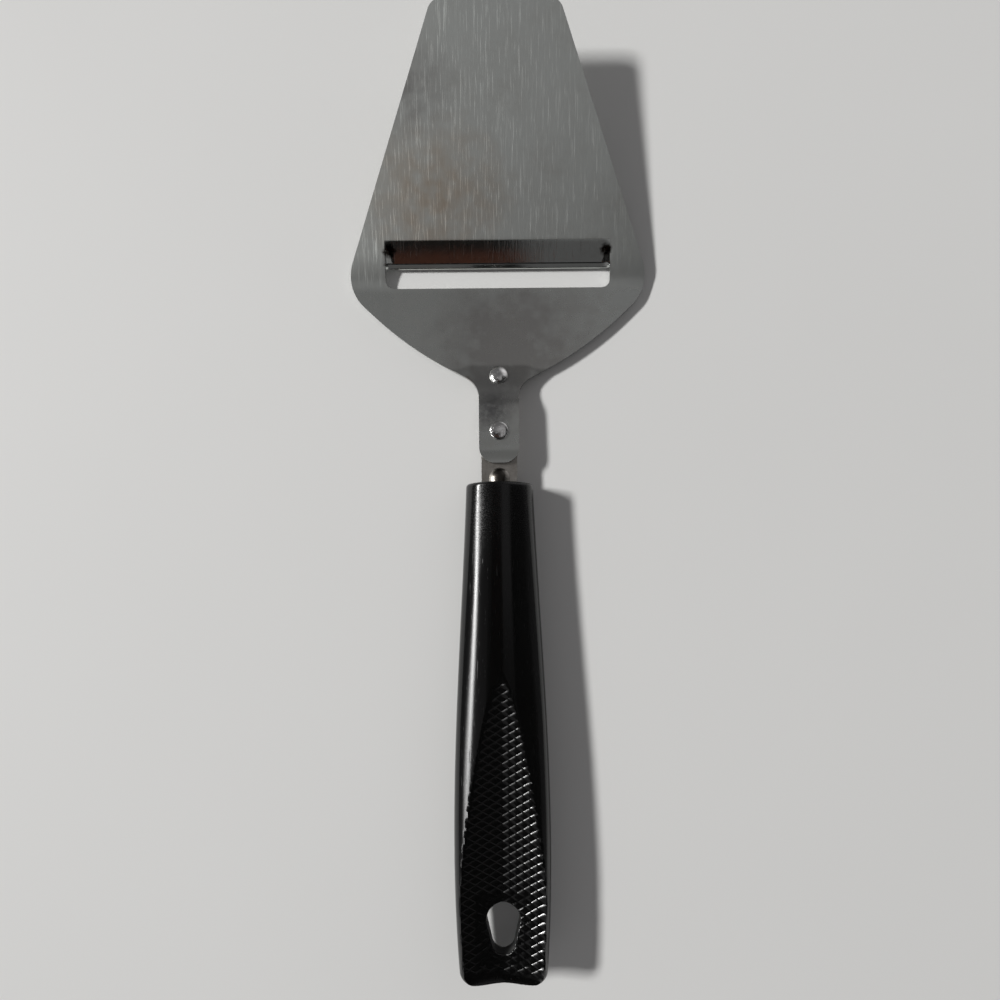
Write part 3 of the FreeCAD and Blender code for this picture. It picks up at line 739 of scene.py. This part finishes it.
    def egg(self, angles: Array) -> tuple[Array, Array]:
        """Outline of the hanging hole at angles about its middle, across and back from the mouth.

        Two arcs on the centre line are joined by straight runs that touch both, so each arc ends at a
        lean whose sine is the difference of the radii over the distance between the centres.
        """
        big_centre = self.hole_start + self.hole_big
        small_centre = self.hole_end - self.hole_small
        middle = (self.hole_start + self.hole_end) / 2
        lean = math.asin((self.hole_big - self.hole_small) / (small_centre - big_centre))
        front_steps, back_steps, run_steps = 120, 80, 40
        front = np.linspace(0, math.pi / 2 + lean, front_steps)
        back = np.linspace(math.pi / 2 - lean, 0, back_steps)
        across = np.concatenate([self.hole_big * np.sin(front), self.hole_small * np.sin(back)])
        place = np.concatenate([big_centre - self.hole_big * np.cos(front),
                                small_centre + self.hole_small * np.cos(back)])
        run = np.linspace(0, 1, run_steps)[1:-1]
        ends = slice(front_steps - 1, front_steps + 1)
        across = np.insert(across, front_steps, across[ends][0] + np.diff(across[ends]) * run)
        place = np.insert(place, front_steps, place[ends][0] + np.diff(place[ends]) * run)
        across = np.concatenate([across, -across[::-1]])
        place = np.concatenate([place, place[::-1]])
        around = np.arctan2(place - middle, across)
        order = np.argsort(around)
        far = np.hypot(across, place - middle)[order]
        radius = np.interp(angles, around[order], far, period=2 * math.pi)
        return radius * np.cos(angles), middle + radius * np.sin(angles)

    def hole_patch(self, across: Array, place: Array) -> tuple[Array, Array]:
        """Plan places of the patch round the hanging hole, rings by spokes, from the hole outwards.

        Args:
            across: Grid places across.
            place: Grid places along.

        Returns:
            Places across and along; the last ring lies on the border of the block.
        """
        first, last, left, right = self.hole_block(place)
        loop = np.concatenate([
            np.stack([np.full(right - left, first), np.arange(left, right)], 1),
            np.stack([np.arange(first, last), np.full(last - first, right)], 1),
            np.stack([np.full(right - left, last), np.arange(right, left, -1)], 1),
            np.stack([np.arange(last, first, -1), np.full(last - first, left)], 1),
        ])
        loop = np.vstack([loop, loop[:1]])
        rim_x = across[loop[:, 0], loop[:, 1]]
        rim_d = place[loop[:, 0], loop[:, 1]]
        middle = (self.hole_start + self.hole_end) / 2
        hole_x, hole_d = self.egg(np.arctan2(rim_d - middle, rim_x))
        ring = np.linspace(0, 1, self.hole_rings)[:, None] ** self.ring_power
        return hole_x + (rim_x - hole_x) * ring, hole_d + (rim_d - hole_d) * ring

    def surface(self, across: Array, place: Array, sink: Array | float, side: int) -> Array:
        """Points of the upper (side 1) or lower (side -1) surface over plan places."""
        height, _ = self.height(across, place, side)
        level = self.axis_height + side * (height - sink)
        return np.stack([across, self.shift(across, place), level], axis=-1)

    def triangles(self, rows: int, columns: int) -> Array:
        """Triangles of the grid, with each cell cut along the groove that crosses it."""
        quads = grid_faces(rows, columns)
        i = np.arange(columns - 1)[None, :] - (columns // 2)
        start = int(np.argmin(np.abs(self.rows() - self.panel_start)))
        j = np.arange(rows - 1)[:, None] - start
        cycle = 2 * self.cells_per_column
        rising = ((i + j + 1) % cycle == cycle // 2).ravel()[:, None]
        first = np.where(rising, quads[:, [0, 1, 3]], quads[:, [0, 1, 2]])
        second = np.where(rising, quads[:, [1, 2, 3]], quads[:, [0, 2, 3]])
        return np.stack([first, second], axis=1).reshape(-1, 3)

    def build(self) -> bpy.types.Object:
        """Make the handle's closed shell: two surfaces, two end faces and the wall of the hole.

        Returns:
            The handle piece, which stands for its solid.
        """
        across, place = self.grid()
        rows, columns = across.shape
        patch_x, patch_d = self.hole_patch(across, place)
        hole_x, hole_d = patch_x[:1], patch_d[:1]
        sink = quarter_round(np.hypot(patch_x - hole_x, patch_d - hole_d), self.hole_round)
        first, last, left, right = self.hole_block(place)
        cell_row, cell_column = np.divmod(np.arange((rows - 1) * (columns - 1)), columns - 1)
        in_block = (cell_row >= first) & (cell_row < last) & (cell_column >= left) & (cell_column < right)
        tris = self.triangles(rows, columns)[np.repeat(~in_block, 2)]
        patch_quads = grid_faces(*patch_x.shape)

        points, faces, flat, panel = [], [], [], []
        count = 0

        def add(new_points: Array, new_faces: Array, new_panel: Array | None = None) -> None:
            """Append points and the faces over them, flat shaded where all corners are in a panel."""
            nonlocal count
            rows_of_points = new_points.reshape(-1, 3)
            in_panel = np.zeros(len(rows_of_points), bool) if new_panel is None else new_panel
            points.append(rows_of_points)
            faces.extend((new_faces + count).tolist())
            flat.append(in_panel[new_faces].all(axis=1))
            panel.append(in_panel.astype(float))
            count += len(rows_of_points)

        for side in (1, -1):
            before_butt = place < self.length - self.panel_end
            inside = (self.height(across, place, side)[1] > self.panel_rim) & before_butt
            patch_inside = self.height(patch_x, patch_d, side)[1] > self.panel_rim
            add(self.surface(across, place, 0.0, side), tris, inside.ravel())
            add(self.surface(patch_x, patch_d, sink, side), patch_quads, patch_inside.ravel())
        share = np.linspace(0, 1, self.wall_rings)[:, None]
        borders = [(across[row][None], place[row][None], 0.0) for row in (0, rows - 1)]
        for border_x, border_d, rounding in (*borders, (hole_x, hole_d, self.hole_round)):
            upper = self.surface(border_x, border_d, rounding, 1)
            lower = self.surface(border_x, border_d, rounding, -1)
            wall = upper + (lower - upper) * share[..., None]
            add(wall, grid_faces(*wall.shape[:2]))

        piece = make_piece("handle_grip", np.vstack(points), faces, np.concatenate(flat),
                           masks={"panel": np.concatenate(panel)})
        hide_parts("handle")
        return piece


# Finishes


class NodeBoard:
    """Short-hand for placing and joining shader nodes on one node tree."""

    def __init__(self, tree: bpy.types.NodeTree) -> None:
        """Keep the tree that nodes are placed on."""
        self.tree = tree

    def add(self, kind: str, settings: dict | None = None, **inputs: object) -> bpy.types.Node:
        """Place a node, set its properties and fill or join its inputs.

        Args:
            kind: Type of the node, without the leading ShaderNode.
            settings: Properties of the node.
            **inputs: Inputs by name, with _ for a space, or by index as in0; a socket is joined.

        Returns:
            The new node.
        """
        node = self.tree.nodes.new(f"ShaderNode{kind}")
        for name, setting in (settings or {}).items():
            setattr(node, name, setting)
        for name, content in inputs.items():
            key = int(name[2:]) if name[:2] == "in" and name[2:].isdigit() else name.replace("_", " ")
            if isinstance(content, bpy.types.NodeSocket):
                self.join(content, node.inputs[key])
            else:
                node.inputs[key].default_value = content
        return node

    def join(self, socket: bpy.types.NodeSocket, target: bpy.types.NodeSocket) -> None:
        """Join an output socket to an input socket."""
        self.tree.links.new(socket, target)

    def maths(self, operation: str, *values: object) -> bpy.types.NodeSocket:
        """Result of a Math node on sockets or numbers."""
        inputs = {f"in{index}": value for index, value in enumerate(values)}
        return self.add("Math", {"operation": operation}, **inputs).outputs[0]

    def ramp(self, factor: bpy.types.NodeSocket, low: float, high: float) -> bpy.types.NodeSocket:
        """Factor stretched so that low becomes 0 and high becomes 1."""
        node = self.add("MapRange", {"clamp": True}, Value=factor, From_Min=low, From_Max=high)
        return node.outputs["Result"]

    def blend(self, factor: bpy.types.NodeSocket, first: object, second: object) -> bpy.types.NodeSocket:
        """Number between two numbers."""
        node = self.add("Mix", {"data_type": "FLOAT"}, in0=factor, in2=first, in3=second)
        return node.outputs[0]

    def mix(self, factor: object, first: object, second: object) -> bpy.types.NodeSocket:
        """Colour between two colours."""
        node = self.add("Mix", {"data_type": "RGBA"}, in0=factor, in6=first, in7=second)
        return node.outputs[2]


def new_finish(name: str) -> tuple[bpy.types.Material, NodeBoard, bpy.types.Node]:
    """Start a material.

    Args:
        name: Name of the material.

    Returns:
        The material, the board of its node tree and its main shader.
    """
    material = bpy.data.materials.new(name)
    material.use_nodes = True
    return material, NodeBoard(material.node_tree), material.node_tree.nodes["Principled BSDF"]


def new_group(name: str, inputs: dict[str, tuple[str, object]], outputs: dict[str, str]) \
        -> tuple[NodeBoard, bpy.types.Node, bpy.types.Node]:
    """Start a shader node group with named sockets.

    Args:
        name: Name of the group.
        inputs: Socket type and default of each input.
        outputs: Socket type of each output.

    Returns:
        The group's board, its input node and its output node.
    """
    tree = bpy.data.node_groups.new(name, "ShaderNodeTree")
    for label, (kind, default) in inputs.items():
        socket = tree.interface.new_socket(label, in_out="INPUT", socket_type=kind)
        if default is not None:
            socket.default_value = default
    for label, kind in outputs.items():
        tree.interface.new_socket(label, in_out="OUTPUT", socket_type=kind)
    return NodeBoard(tree), tree.nodes.new("NodeGroupInput"), tree.nodes.new("NodeGroupOutput")


def brushing_group() -> bpy.types.NodeTree:
    """Fine parallel scratches: noise drawn out along one direction, as a mask and as a height.

    Returns:
        The group, with inputs Vector, Scale and Threshold and outputs Mask and Height.
    """
    board, enter, leave = new_group(
        "brushing",
        {"Vector": ("NodeSocketVector", None), "Scale": ("NodeSocketFloat", 900.0),
         "Threshold": ("NodeSocketFloat", 0.58)},
        {"Mask": "NodeSocketFloat", "Height": "NodeSocketFloat"},
    )
    fine = board.add("TexNoise", Vector=enter.outputs["Vector"], Scale=enter.outputs["Scale"],
                     Detail=3.0, Roughness=0.6, Distortion=0.5)
    softness = 0.12
    upper = board.maths("ADD", enter.outputs["Threshold"], softness)
    stretch = board.add("MapRange", {"clamp": True}, Value=fine.outputs["Fac"],
                        From_Min=enter.outputs["Threshold"], From_Max=upper)
    board.join(stretch.outputs["Result"], leave.inputs["Mask"])
    board.join(fine.outputs["Fac"], leave.inputs["Height"])
    return board.tree


def blotch_group() -> bpy.types.NodeTree:
    """Cloudy stains: two sizes of soft noise multiplied together, as one mask.

    Returns:
        The group, with inputs Vector and Scale and output Mask.
    """
    board, enter, leave = new_group(
        "blotches",
        {"Vector": ("NodeSocketVector", None), "Scale": ("NodeSocketFloat", 60.0)},
        {"Mask": "NodeSocketFloat"},
    )
    broad = board.add("TexNoise", Vector=enter.outputs["Vector"], Scale=enter.outputs["Scale"],
                      Detail=4.0, Roughness=0.55)
    times_finer = 6.3
    small_scale = board.maths("MULTIPLY", enter.outputs["Scale"], times_finer)
    small = board.add("TexNoise", Vector=enter.outputs["Vector"], Scale=small_scale,
                      Detail=3.0, Roughness=0.6)
    product = board.maths("MULTIPLY", board.ramp(broad.outputs["Fac"], 0.38, 0.68),
                          board.ramp(small.outputs["Fac"], 0.25, 0.75))
    board.join(product, leave.inputs["Mask"])
    return board.tree


@dataclass(frozen=True)
class Band:
    """Part of a piece with another roughness: a stretch along y from the mouth and a half width, in mm."""

    start: float
    end: float
    half_width: float
    ease: float
    roughness: float

    def mask(self, board: NodeBoard, place: bpy.types.NodeSocket) -> bpy.types.NodeSocket:
        """Share of the band at a place: 1 inside it, falling to 0 over its ease on every side."""
        part = board.add("SeparateXYZ", Vector=place)
        places = (self.start - self.ease, self.start, self.end, self.end + self.ease)
        low, start, end, high = in_frame(np.array([(0.0, along, 0.0) for along in places]))[:, 1].tolist()
        lengthwise = board.maths("MULTIPLY", board.ramp(part.outputs["Y"], low, start),
                                 board.ramp(part.outputs["Y"], high, end))
        aside = board.maths("ABSOLUTE", part.outputs["X"])
        crosswise = board.ramp(aside, (self.half_width + self.ease) * METRE, self.half_width * METRE)
        return board.maths("MULTIPLY", lengthwise, crosswise)


@dataclass(frozen=True)
class Spot:
    """Spot of stain or of painted shade: its place and radius in millimetres, its colour and how ragged its
    border is.
    """

    place: tuple[float, float, float]
    radius: float
    colour: tuple[float, float, float]
    grain: float
    cover: tuple[float, float]

    def paint(self, board: NodeBoard, place: bpy.types.NodeSocket,
              tint: bpy.types.NodeSocket) -> bpy.types.NodeSocket:
        """Colour with the spot laid over it, where its nearness times a grain passes the cover's range."""
        middle = in_frame(np.array(self.place)).tolist()
        far = board.add("VectorMath", {"operation": "DISTANCE"}, in0=place, in1=middle).outputs["Value"]
        near = board.ramp(far, self.radius * METRE, 0.0)
        grain = board.add("TexNoise", Vector=place, Scale=self.grain, Detail=4.0).outputs["Fac"]
        cover = board.ramp(board.maths("MULTIPLY", near, grain), *self.cover)
        return board.mix(cover, tint, (*self.colour, 1))


@dataclass(frozen=True)
class SteelFinish:
    """Worn metal: hair-line scratches, cloudy stains, and spots of stain or of painted shade.

    Colours are linear; scales are in noise cells per metre.
    """

    name: str
    colour: tuple[float, float, float]
    stain: tuple[float, float, float]
    roughness: float
    scratch_roughness: float
    scratches: Axis
    scratch_scale: float
    scratch_level: float
    bump: float
    blotch_scale: float
    blotch_share: float
    worn: Band | None = None
    polished: Band | None = None
    spots: tuple[Spot, ...] = ()
    stain_roughening: float = 0.1
    hair_relief: float = -0.5

    def build(self, brushing: bpy.types.NodeTree, blotches: bpy.types.NodeTree) -> bpy.types.Material:
        """Make the material from the shared groups.

        Args:
            brushing: Group of parallel scratches.
            blotches: Group of cloudy stains.

        Returns:
            The finished material.
        """
        material, board, shader = new_finish(self.name)
        place = board.add("TexCoord").outputs["Object"]
        stretched = board.add("Mapping", Vector=place, Scale=self.scratches.value).outputs[0]
        brush = board.add("Group", {"node_tree": brushing}, Vector=stretched,
                          Scale=self.scratch_scale, Threshold=self.scratch_level)
        cloud = board.add("Group", {"node_tree": blotches}, Vector=place, Scale=self.blotch_scale)
        stain = board.maths("MULTIPLY", cloud.outputs["Mask"], self.blotch_share)
        tint = board.mix(stain, (*self.colour, 1), (*self.stain, 1))
        for spot in self.spots:
            tint = spot.paint(board, place, tint)
        board.join(tint, shader.inputs["Base Color"])
        shader.inputs["Metallic"].default_value = 1.0
        hair = brush.outputs["Mask"]
        rough = board.maths("ADD", self.roughness, board.maths("MULTIPLY", stain, self.stain_roughening))
        if self.worn:
            worn = self.worn.mask(board, place)
            hair = board.maths("MULTIPLY", hair, worn)
            rough = board.blend(worn, rough, self.worn.roughness)
        rough = board.blend(hair, rough, self.scratch_roughness)
        if self.polished:
            rough = board.blend(self.polished.mask(board, place), rough, self.polished.roughness)
        board.join(rough, shader.inputs["Roughness"])
        relief = board.maths("ADD", brush.outputs["Height"], board.maths("MULTIPLY", hair, self.hair_relief))
        bump = board.add("Bump", Strength=self.bump, Distance=BUMP_HEIGHT, Height=relief)
        board.join(bump.outputs["Normal"], shader.inputs["Normal"])
        return material


@dataclass(frozen=True)
class PlasticFinish:
    """Glossy black moulding, rubbed across its length outside the checkered panels.

    The rubbing draws a highlight out along the handle, so the gloss is anisotropic there.
    """

    name: str
    colour: tuple[float, float, float]
    roughness: float
    worn_roughness: float
    scratch_roughness: float
    panel_roughness: float
    rubbing: float
    index: float
    bump: float
    handled: Band
    handled_evenness: float = 0.7
    scratch_turn: float = 0.5
    scratch_stretch: float = 0.06
    scratch_scale: float = 3200.0
    scratch_level: float = 0.65
    scratch_relief: float = -0.4
    blotch_scale: float = 95.0
    blotch_share: float = 0.5
    grit_scale: float = 4200.0
    grit_range: tuple[float, float] = (0.35, 0.75)
    ripple_scale: float = 220.0
    ripple_relief: float = 0.3
    gloss_turn: float = 0.25

    def build(self, brushing: bpy.types.NodeTree, blotches: bpy.types.NodeTree) -> bpy.types.Material:
        """Make the material from the shared groups.

        Args:
            brushing: Group of parallel scratches.
            blotches: Group of cloudy stains.

        Returns:
            The finished material.
        """
        material, board, shader = new_finish(self.name)
        place = board.add("TexCoord").outputs["Object"]
        panel = board.add("Attribute", {"attribute_name": "panel"}).outputs["Fac"]
        turned = board.add("Mapping", Vector=place, Rotation=(0.0, 0.0, self.scratch_turn),
                           Scale=(1.0, self.scratch_stretch, 1.0)).outputs[0]
        scratch = board.add("Group", {"node_tree": brushing}, Vector=turned,
                            Scale=self.scratch_scale, Threshold=self.scratch_level).outputs["Mask"]
        cloud = board.add("Group", {"node_tree": blotches}, Vector=place, Scale=self.blotch_scale)
        worn = board.maths("MULTIPLY", cloud.outputs["Mask"], self.blotch_share)
        shader.inputs["Base Color"].default_value = (*self.colour, 1)
        shader.inputs["IOR"].default_value = self.index
        grit = board.add("TexNoise", Vector=place, Scale=self.grit_scale, Detail=3.0).outputs["Fac"]
        handled = board.maths("MULTIPLY", self.handled.mask(board, place),
                              board.ramp(grit, *self.grit_range))
        rubbed = board.blend(worn, self.roughness, self.worn_roughness)
        rubbed = board.blend(handled, rubbed, self.handled.roughness)
        rubbed = board.blend(scratch, rubbed, self.scratch_roughness)
        rough = board.blend(panel, rubbed, self.panel_roughness)
        board.join(rough, shader.inputs["Roughness"])
        even = board.maths("MAXIMUM", panel, board.maths("MULTIPLY", handled, self.handled_evenness))
        even = board.maths("MAXIMUM", even, scratch)
        board.join(board.blend(even, self.rubbing, 0.0), shader.inputs["Anisotropic"])
        shader.inputs["Anisotropic Rotation"].default_value = self.gloss_turn
        around = board.add("Tangent", {"direction_type": "RADIAL", "axis": "Y"}).outputs["Tangent"]
        board.join(around, shader.inputs["Tangent"])
        ripple = board.add("TexNoise", Vector=place, Scale=self.ripple_scale, Detail=2.0)
        relief = board.maths("ADD", board.maths("MULTIPLY", ripple.outputs["Fac"], self.ripple_relief),
                             board.maths("MULTIPLY", scratch, self.scratch_relief))
        bump = board.add("Bump", Strength=self.bump, Distance=BUMP_HEIGHT, Height=relief)
        board.join(bump.outputs["Normal"], shader.inputs["Normal"])
        return material


BLADE_STEEL = SteelFinish(
    name="brushed_blade_steel", colour=(0.55, 0.57, 0.55), stain=(0.40, 0.39, 0.36),
    roughness=0.26, scratch_roughness=0.52, scratches=Axis.LENGTHWISE, scratch_scale=4200.0,
    scratch_level=0.56, bump=0.3, blotch_scale=70.0, blotch_share=0.45,
    worn=Band(start=54.0, end=112.0, half_width=40.0, ease=9.0, roughness=0.39),
    polished=Band(start=49.0, end=56.6, half_width=26.0, ease=0.4, roughness=0.07),
    spots=(
        Spot((-7.4, 24.2, 4.0), 2.6, (0.11, 0.035, 0.012), 1800.0, (0.22, 0.42)),
        Spot((-14.0, 66.0, 8.0), 24.0, (0.46, 0.40, 0.33), 300.0, (0.1, 0.6)),
        # Painted shade: this grey spot darkens the left of the rising plate towards the tip.
        Spot((-20.0, 88.0, 14.0), 16.0, (0.34, 0.34, 0.33), 300.0, (0.1, 0.6)),
        Spot((3.0, 32.0, 3.1), 25.0, (0.39, 0.385, 0.37), 300.0, (0.04, 0.36)),
        # Painted reflection: these two grey spots darken the neck, its ramp and the seat, where those faces
        # mirror the dark surroundings.
        Spot((0.0, 22.0, 4.4), 7.0, (0.36, 0.36, 0.35), 300.0, (0.05, 0.35)),
        Spot((-1.6, 17.0, 5.9), 6.5, (0.20, 0.20, 0.20), 900.0, (0.08, 0.5)),
        # Painted shade: these two dark spots darken the recessed end corners of the lip.
        Spot((-25.2, 54.6, 4.6), 2.4, (0.03, 0.025, 0.02), 900.0, (0.12, 0.3)),
        Spot((25.2, 54.6, 4.6), 2.2, (0.03, 0.025, 0.02), 900.0, (0.12, 0.3)),
    ),
)
TANG_STEEL = SteelFinish(
    name="rough_tang_steel", colour=(0.44, 0.42, 0.39), stain=(0.16, 0.14, 0.12),
    roughness=0.33, scratch_roughness=0.42, scratches=Axis.NONE, scratch_scale=1600.0,
    scratch_level=0.56, bump=0.8, blotch_scale=420.0, blotch_share=0.8,
    # Painted reflection: the dark spot on the bead's dome stands in for the dark surroundings that it
    # mirrors.
    spots=(Spot((0.0, 2.0, 6.0), 2.5, (0.05, 0.045, 0.04), 900.0, (0.06, 0.22)),),
)
RIVET_METAL = SteelFinish(
    name="bright_rivet_metal", colour=(0.88, 0.88, 0.87), stain=(0.40, 0.39, 0.37),
    roughness=0.13, scratch_roughness=0.28, scratches=Axis.NONE, scratch_scale=1500.0,
    scratch_level=0.55, bump=1.0, blotch_scale=700.0, blotch_share=0.8,
)
HANDLE_PLASTIC = PlasticFinish(
    name="glossy_black_plastic", colour=(0.0012, 0.0012, 0.0012), roughness=0.2, worn_roughness=0.25,
    scratch_roughness=0.6, panel_roughness=0.23, rubbing=1.0, index=1.5, bump=0.1,
    handled=Band(start=-6.0, end=4.0, half_width=14.0, ease=15.0, roughness=0.37),
)


# Studio


@dataclass(frozen=True)
class Glow:
    """Soft glow of the room.

    It starts where the cosine of the angle off its direction passes the start, and is full at 1.
    """

    direction: tuple[float, float, float]
    start: float
    gain: float


@dataclass(frozen=True)
class Card:
    """Level card that only glossy surfaces mirror.

    Its left, right, back and front edges are in metres, and its glow is the light that it gives off.
    """

    name: str
    edges: tuple[float, float, float, float]
    colour: tuple[float, float, float] = (0.0, 0.0, 0.0)
    glow: float = 0.0


@dataclass
class Studio:
    """Pale table, soft key light from the left and a camera straight above. Metres and degrees."""

    camera_height: float = 0.190
    camera_back: float = 0.0035
    focal_pixels: float = 802.0
    frame_pixels: float = 1000.0
    camera_aside: float = 0.00008
    roll_deg: float = -0.51
    sensor_mm: float = 36.0
    clip_start: float = 0.005
    light_slope: tuple[float, float] = (-1.25, 0.34)
    light_distance: float = 5.0
    light_size: tuple[float, float] = (1.0, 0.42)
    light_power: float = 262.0
    light_colour: tuple[float, float, float] = (1.0, 0.995, 0.985)
    table_colour: tuple[float, float, float] = (0.70, 0.70, 0.69)
    table_paler: float = 1.05
    table_clouds: float = 9.0
    table_roughness: float = 0.65
    table_gloss: float = 0.3
    table_half: float = 3.0
    room_colour: tuple[float, float, float] = (1.0, 0.985, 1.0)
    room_level: float = 0.112
    room_glows: tuple[Glow, ...] = (
        Glow((0.24, 0.08, 0.967), 0.90, 0.20),
        Glow((-0.55, -0.70, 0.45), 0.78, 0.14),
        Glow((0.62, 0.72, 0.30), 0.76, 0.56),
    )
    card_height: float = 0.196
    card_roughness: float = 0.9
    cards: tuple[Card, ...] = (
        Card("dark_card_1", (-0.065, 0.012, -0.012, 0.028), (0.006, 0.005, 0.005)),
        Card("dark_card_2", (-0.065, 0.014, -0.034, -0.012), (0.085, 0.026, 0.013)),
        Card("dark_card_3", (-0.090, 0.300, -0.400, -0.034), (0.012, 0.012, 0.012)),
        Card("dark_card_4", (0.080, 0.500, -0.034, 0.100), (0.012, 0.012, 0.012)),
        Card("bright_strip", (-0.238, -0.202, -0.150, -0.050), glow=18.0),
    )

    def level_sheet(self, name: str, edges: tuple[float, float, float, float], height: float,
                    material: bpy.types.Material) -> bpy.types.Object:
        """Put a level rectangle into the scene, as part of the stage and not of the slicer.

        Args:
            name: Name of the sheet.
            edges: Left, right, back and front edge in metres.
            height: Height of the sheet in metres.
            material: Its one finish.

        Returns:
            The new object.
        """
        left, right, back, front = edges
        mesh = bpy.data.meshes.new(name)
        plan = ((left, back), (right, back), (right, front), (left, front))
        mesh.from_pydata([(*corner, height) for corner in plan], [], [(0, 1, 2, 3)])
        mesh.materials.append(material)
        sheet = put_in_scene(name, mesh)
        return sheet

    def table(self) -> None:
        """Make the plain pale surface that the slicer lies on."""
        material, board, shader = new_finish("pale_table")
        place = board.add("TexCoord").outputs["Object"]
        cloud = board.add("TexNoise", Vector=place, Scale=self.table_clouds, Detail=4.0)
        paler = tuple(channel * self.table_paler for channel in self.table_colour)
        tint = board.mix(cloud.outputs["Fac"], (*self.table_colour, 1), (*paler, 1))
        board.join(tint, shader.inputs["Base Color"])
        shader.inputs["Roughness"].default_value = self.table_roughness
        shader.inputs["Specular IOR Level"].default_value = self.table_gloss
        half = self.table_half
        self.level_sheet("table", (-half, half, -half, half), 0.0, material)

    def key_light(self) -> None:
        """Hang the soft key light on the left, turned to the middle of the slicer."""
        lamp = bpy.data.lights.new("key_light", "AREA")
        lamp.shape = "RECTANGLE"
        lamp.size, lamp.size_y = self.light_size
        lamp.energy = self.light_power
        lamp.color = self.light_colour
        light = put_in_scene("key_light", lamp)
        way = np.array([*self.light_slope, 1.0])
        spot = way / np.linalg.norm(way) * self.light_distance
        light.location = spot.tolist()
        light.rotation_euler = light.location.to_track_quat("Z", "Y").to_euler()

    def world(self) -> None:
        """Light the dim room with soft glows: overhead, where the plate mirrors it, and low on two sides."""
        world = bpy.data.worlds.new("dim_room")
        world.use_nodes = True
        bpy.context.scene.world = world
        board = NodeBoard(world.node_tree)
        way = board.add("TexCoord").outputs["Generated"]
        level = self.room_level
        for glow in self.room_glows:
            facing = board.add("VectorMath", {"operation": "DOT_PRODUCT"}, in0=way, in1=glow.direction)
            rise = board.add("MapRange", {"interpolation_type": "SMOOTHSTEP"}, Value=facing.outputs["Value"],
                             From_Min=glow.start, From_Max=1.0, To_Max=glow.gain)
            level = board.maths("ADD", rise.outputs["Result"], level)
        background = world.node_tree.nodes["Background"]
        background.inputs["Color"].default_value = (*self.room_colour, 1)
        board.join(level, background.inputs["Strength"])

    def hang_cards(self) -> None:
        """Hang the dark cards over the slicer and the bright strip on its left."""
        for card in self.cards:
            material, _, shader = new_finish(card.name)
            shader.inputs["Base Color"].default_value = (*card.colour, 1)
            shader.inputs["Roughness"].default_value = self.card_roughness
            shader.inputs["Emission Color"].default_value = (1, 1, 1, 1)
            shader.inputs["Emission Strength"].default_value = card.glow
            sheet = self.level_sheet(card.name, card.edges, self.card_height, material)
            sheet.visible_camera = False
            sheet.visible_shadow = False
            sheet.visible_diffuse = False

    def camera(self) -> None:
        """Hang the camera over the slicer, looking straight down and a little rolled."""
        lens = bpy.data.cameras.new("camera")
        lens.sensor_width = self.sensor_mm
        lens.lens = self.focal_pixels / self.frame_pixels * self.sensor_mm
        lens.clip_start = self.clip_start
        camera = put_in_scene("camera", lens)
        mouth_y = in_frame(np.zeros(3))[1]
        camera.location = (self.camera_aside, mouth_y - self.camera_back, self.camera_height)
        camera.rotation_euler = (0.0, 0.0, math.radians(self.roll_deg))
        bpy.context.scene.camera = camera


def dress(piece: bpy.types.Object, material: bpy.types.Material) -> None:
    """Give a piece its one finish."""
    piece.data.materials.clear()
    piece.data.materials.append(material)


def main() -> None:
    """Build the slicer piece by piece, dress it and set up the studio."""
    logging.basicConfig(level=logging.INFO)
    bpy.context.scene.view_settings.view_transform = "Standard"
    brushing = brushing_group()
    blotches = blotch_group()
    line = BentLine()
    seat_middle = (line.ramp_foot + line.seat_end) / 2
    grip = line.blade_thickness + line.tang_thickness
    seat_height = line.sole_top + line.slopes()[1] * (line.seat_end - seat_middle)
    dress(Blade(line).build(), BLADE_STEEL.build(brushing, blotches))
    dress(Tang(line).build(), TANG_STEEL.build(brushing, blotches))
    rivet_metal = RIVET_METAL.build(brushing, blotches)
    front = Rivet("rivet_front", along=seat_middle, height=seat_height, tilt_deg=line.seat_angle,
                  dome_height=1.1, rim_height=0.3, grip=grip)
    rear = Rivet("rivet_rear", along=12.3, height=line.neck_top(), tilt_deg=0.0,
                 dome_height=0.75, rim_height=0.4, grip=grip)
    for rivet in (front, rear):
        dress(rivet.build(), rivet_metal)
    dress(Handle().build(), HANDLE_PLASTIC.build(brushing, blotches))
    studio = Studio()
    studio.table()
    studio.key_light()
    studio.world()
    studio.hang_cards()
    studio.camera()


if __name__ == "__main__":
    main()
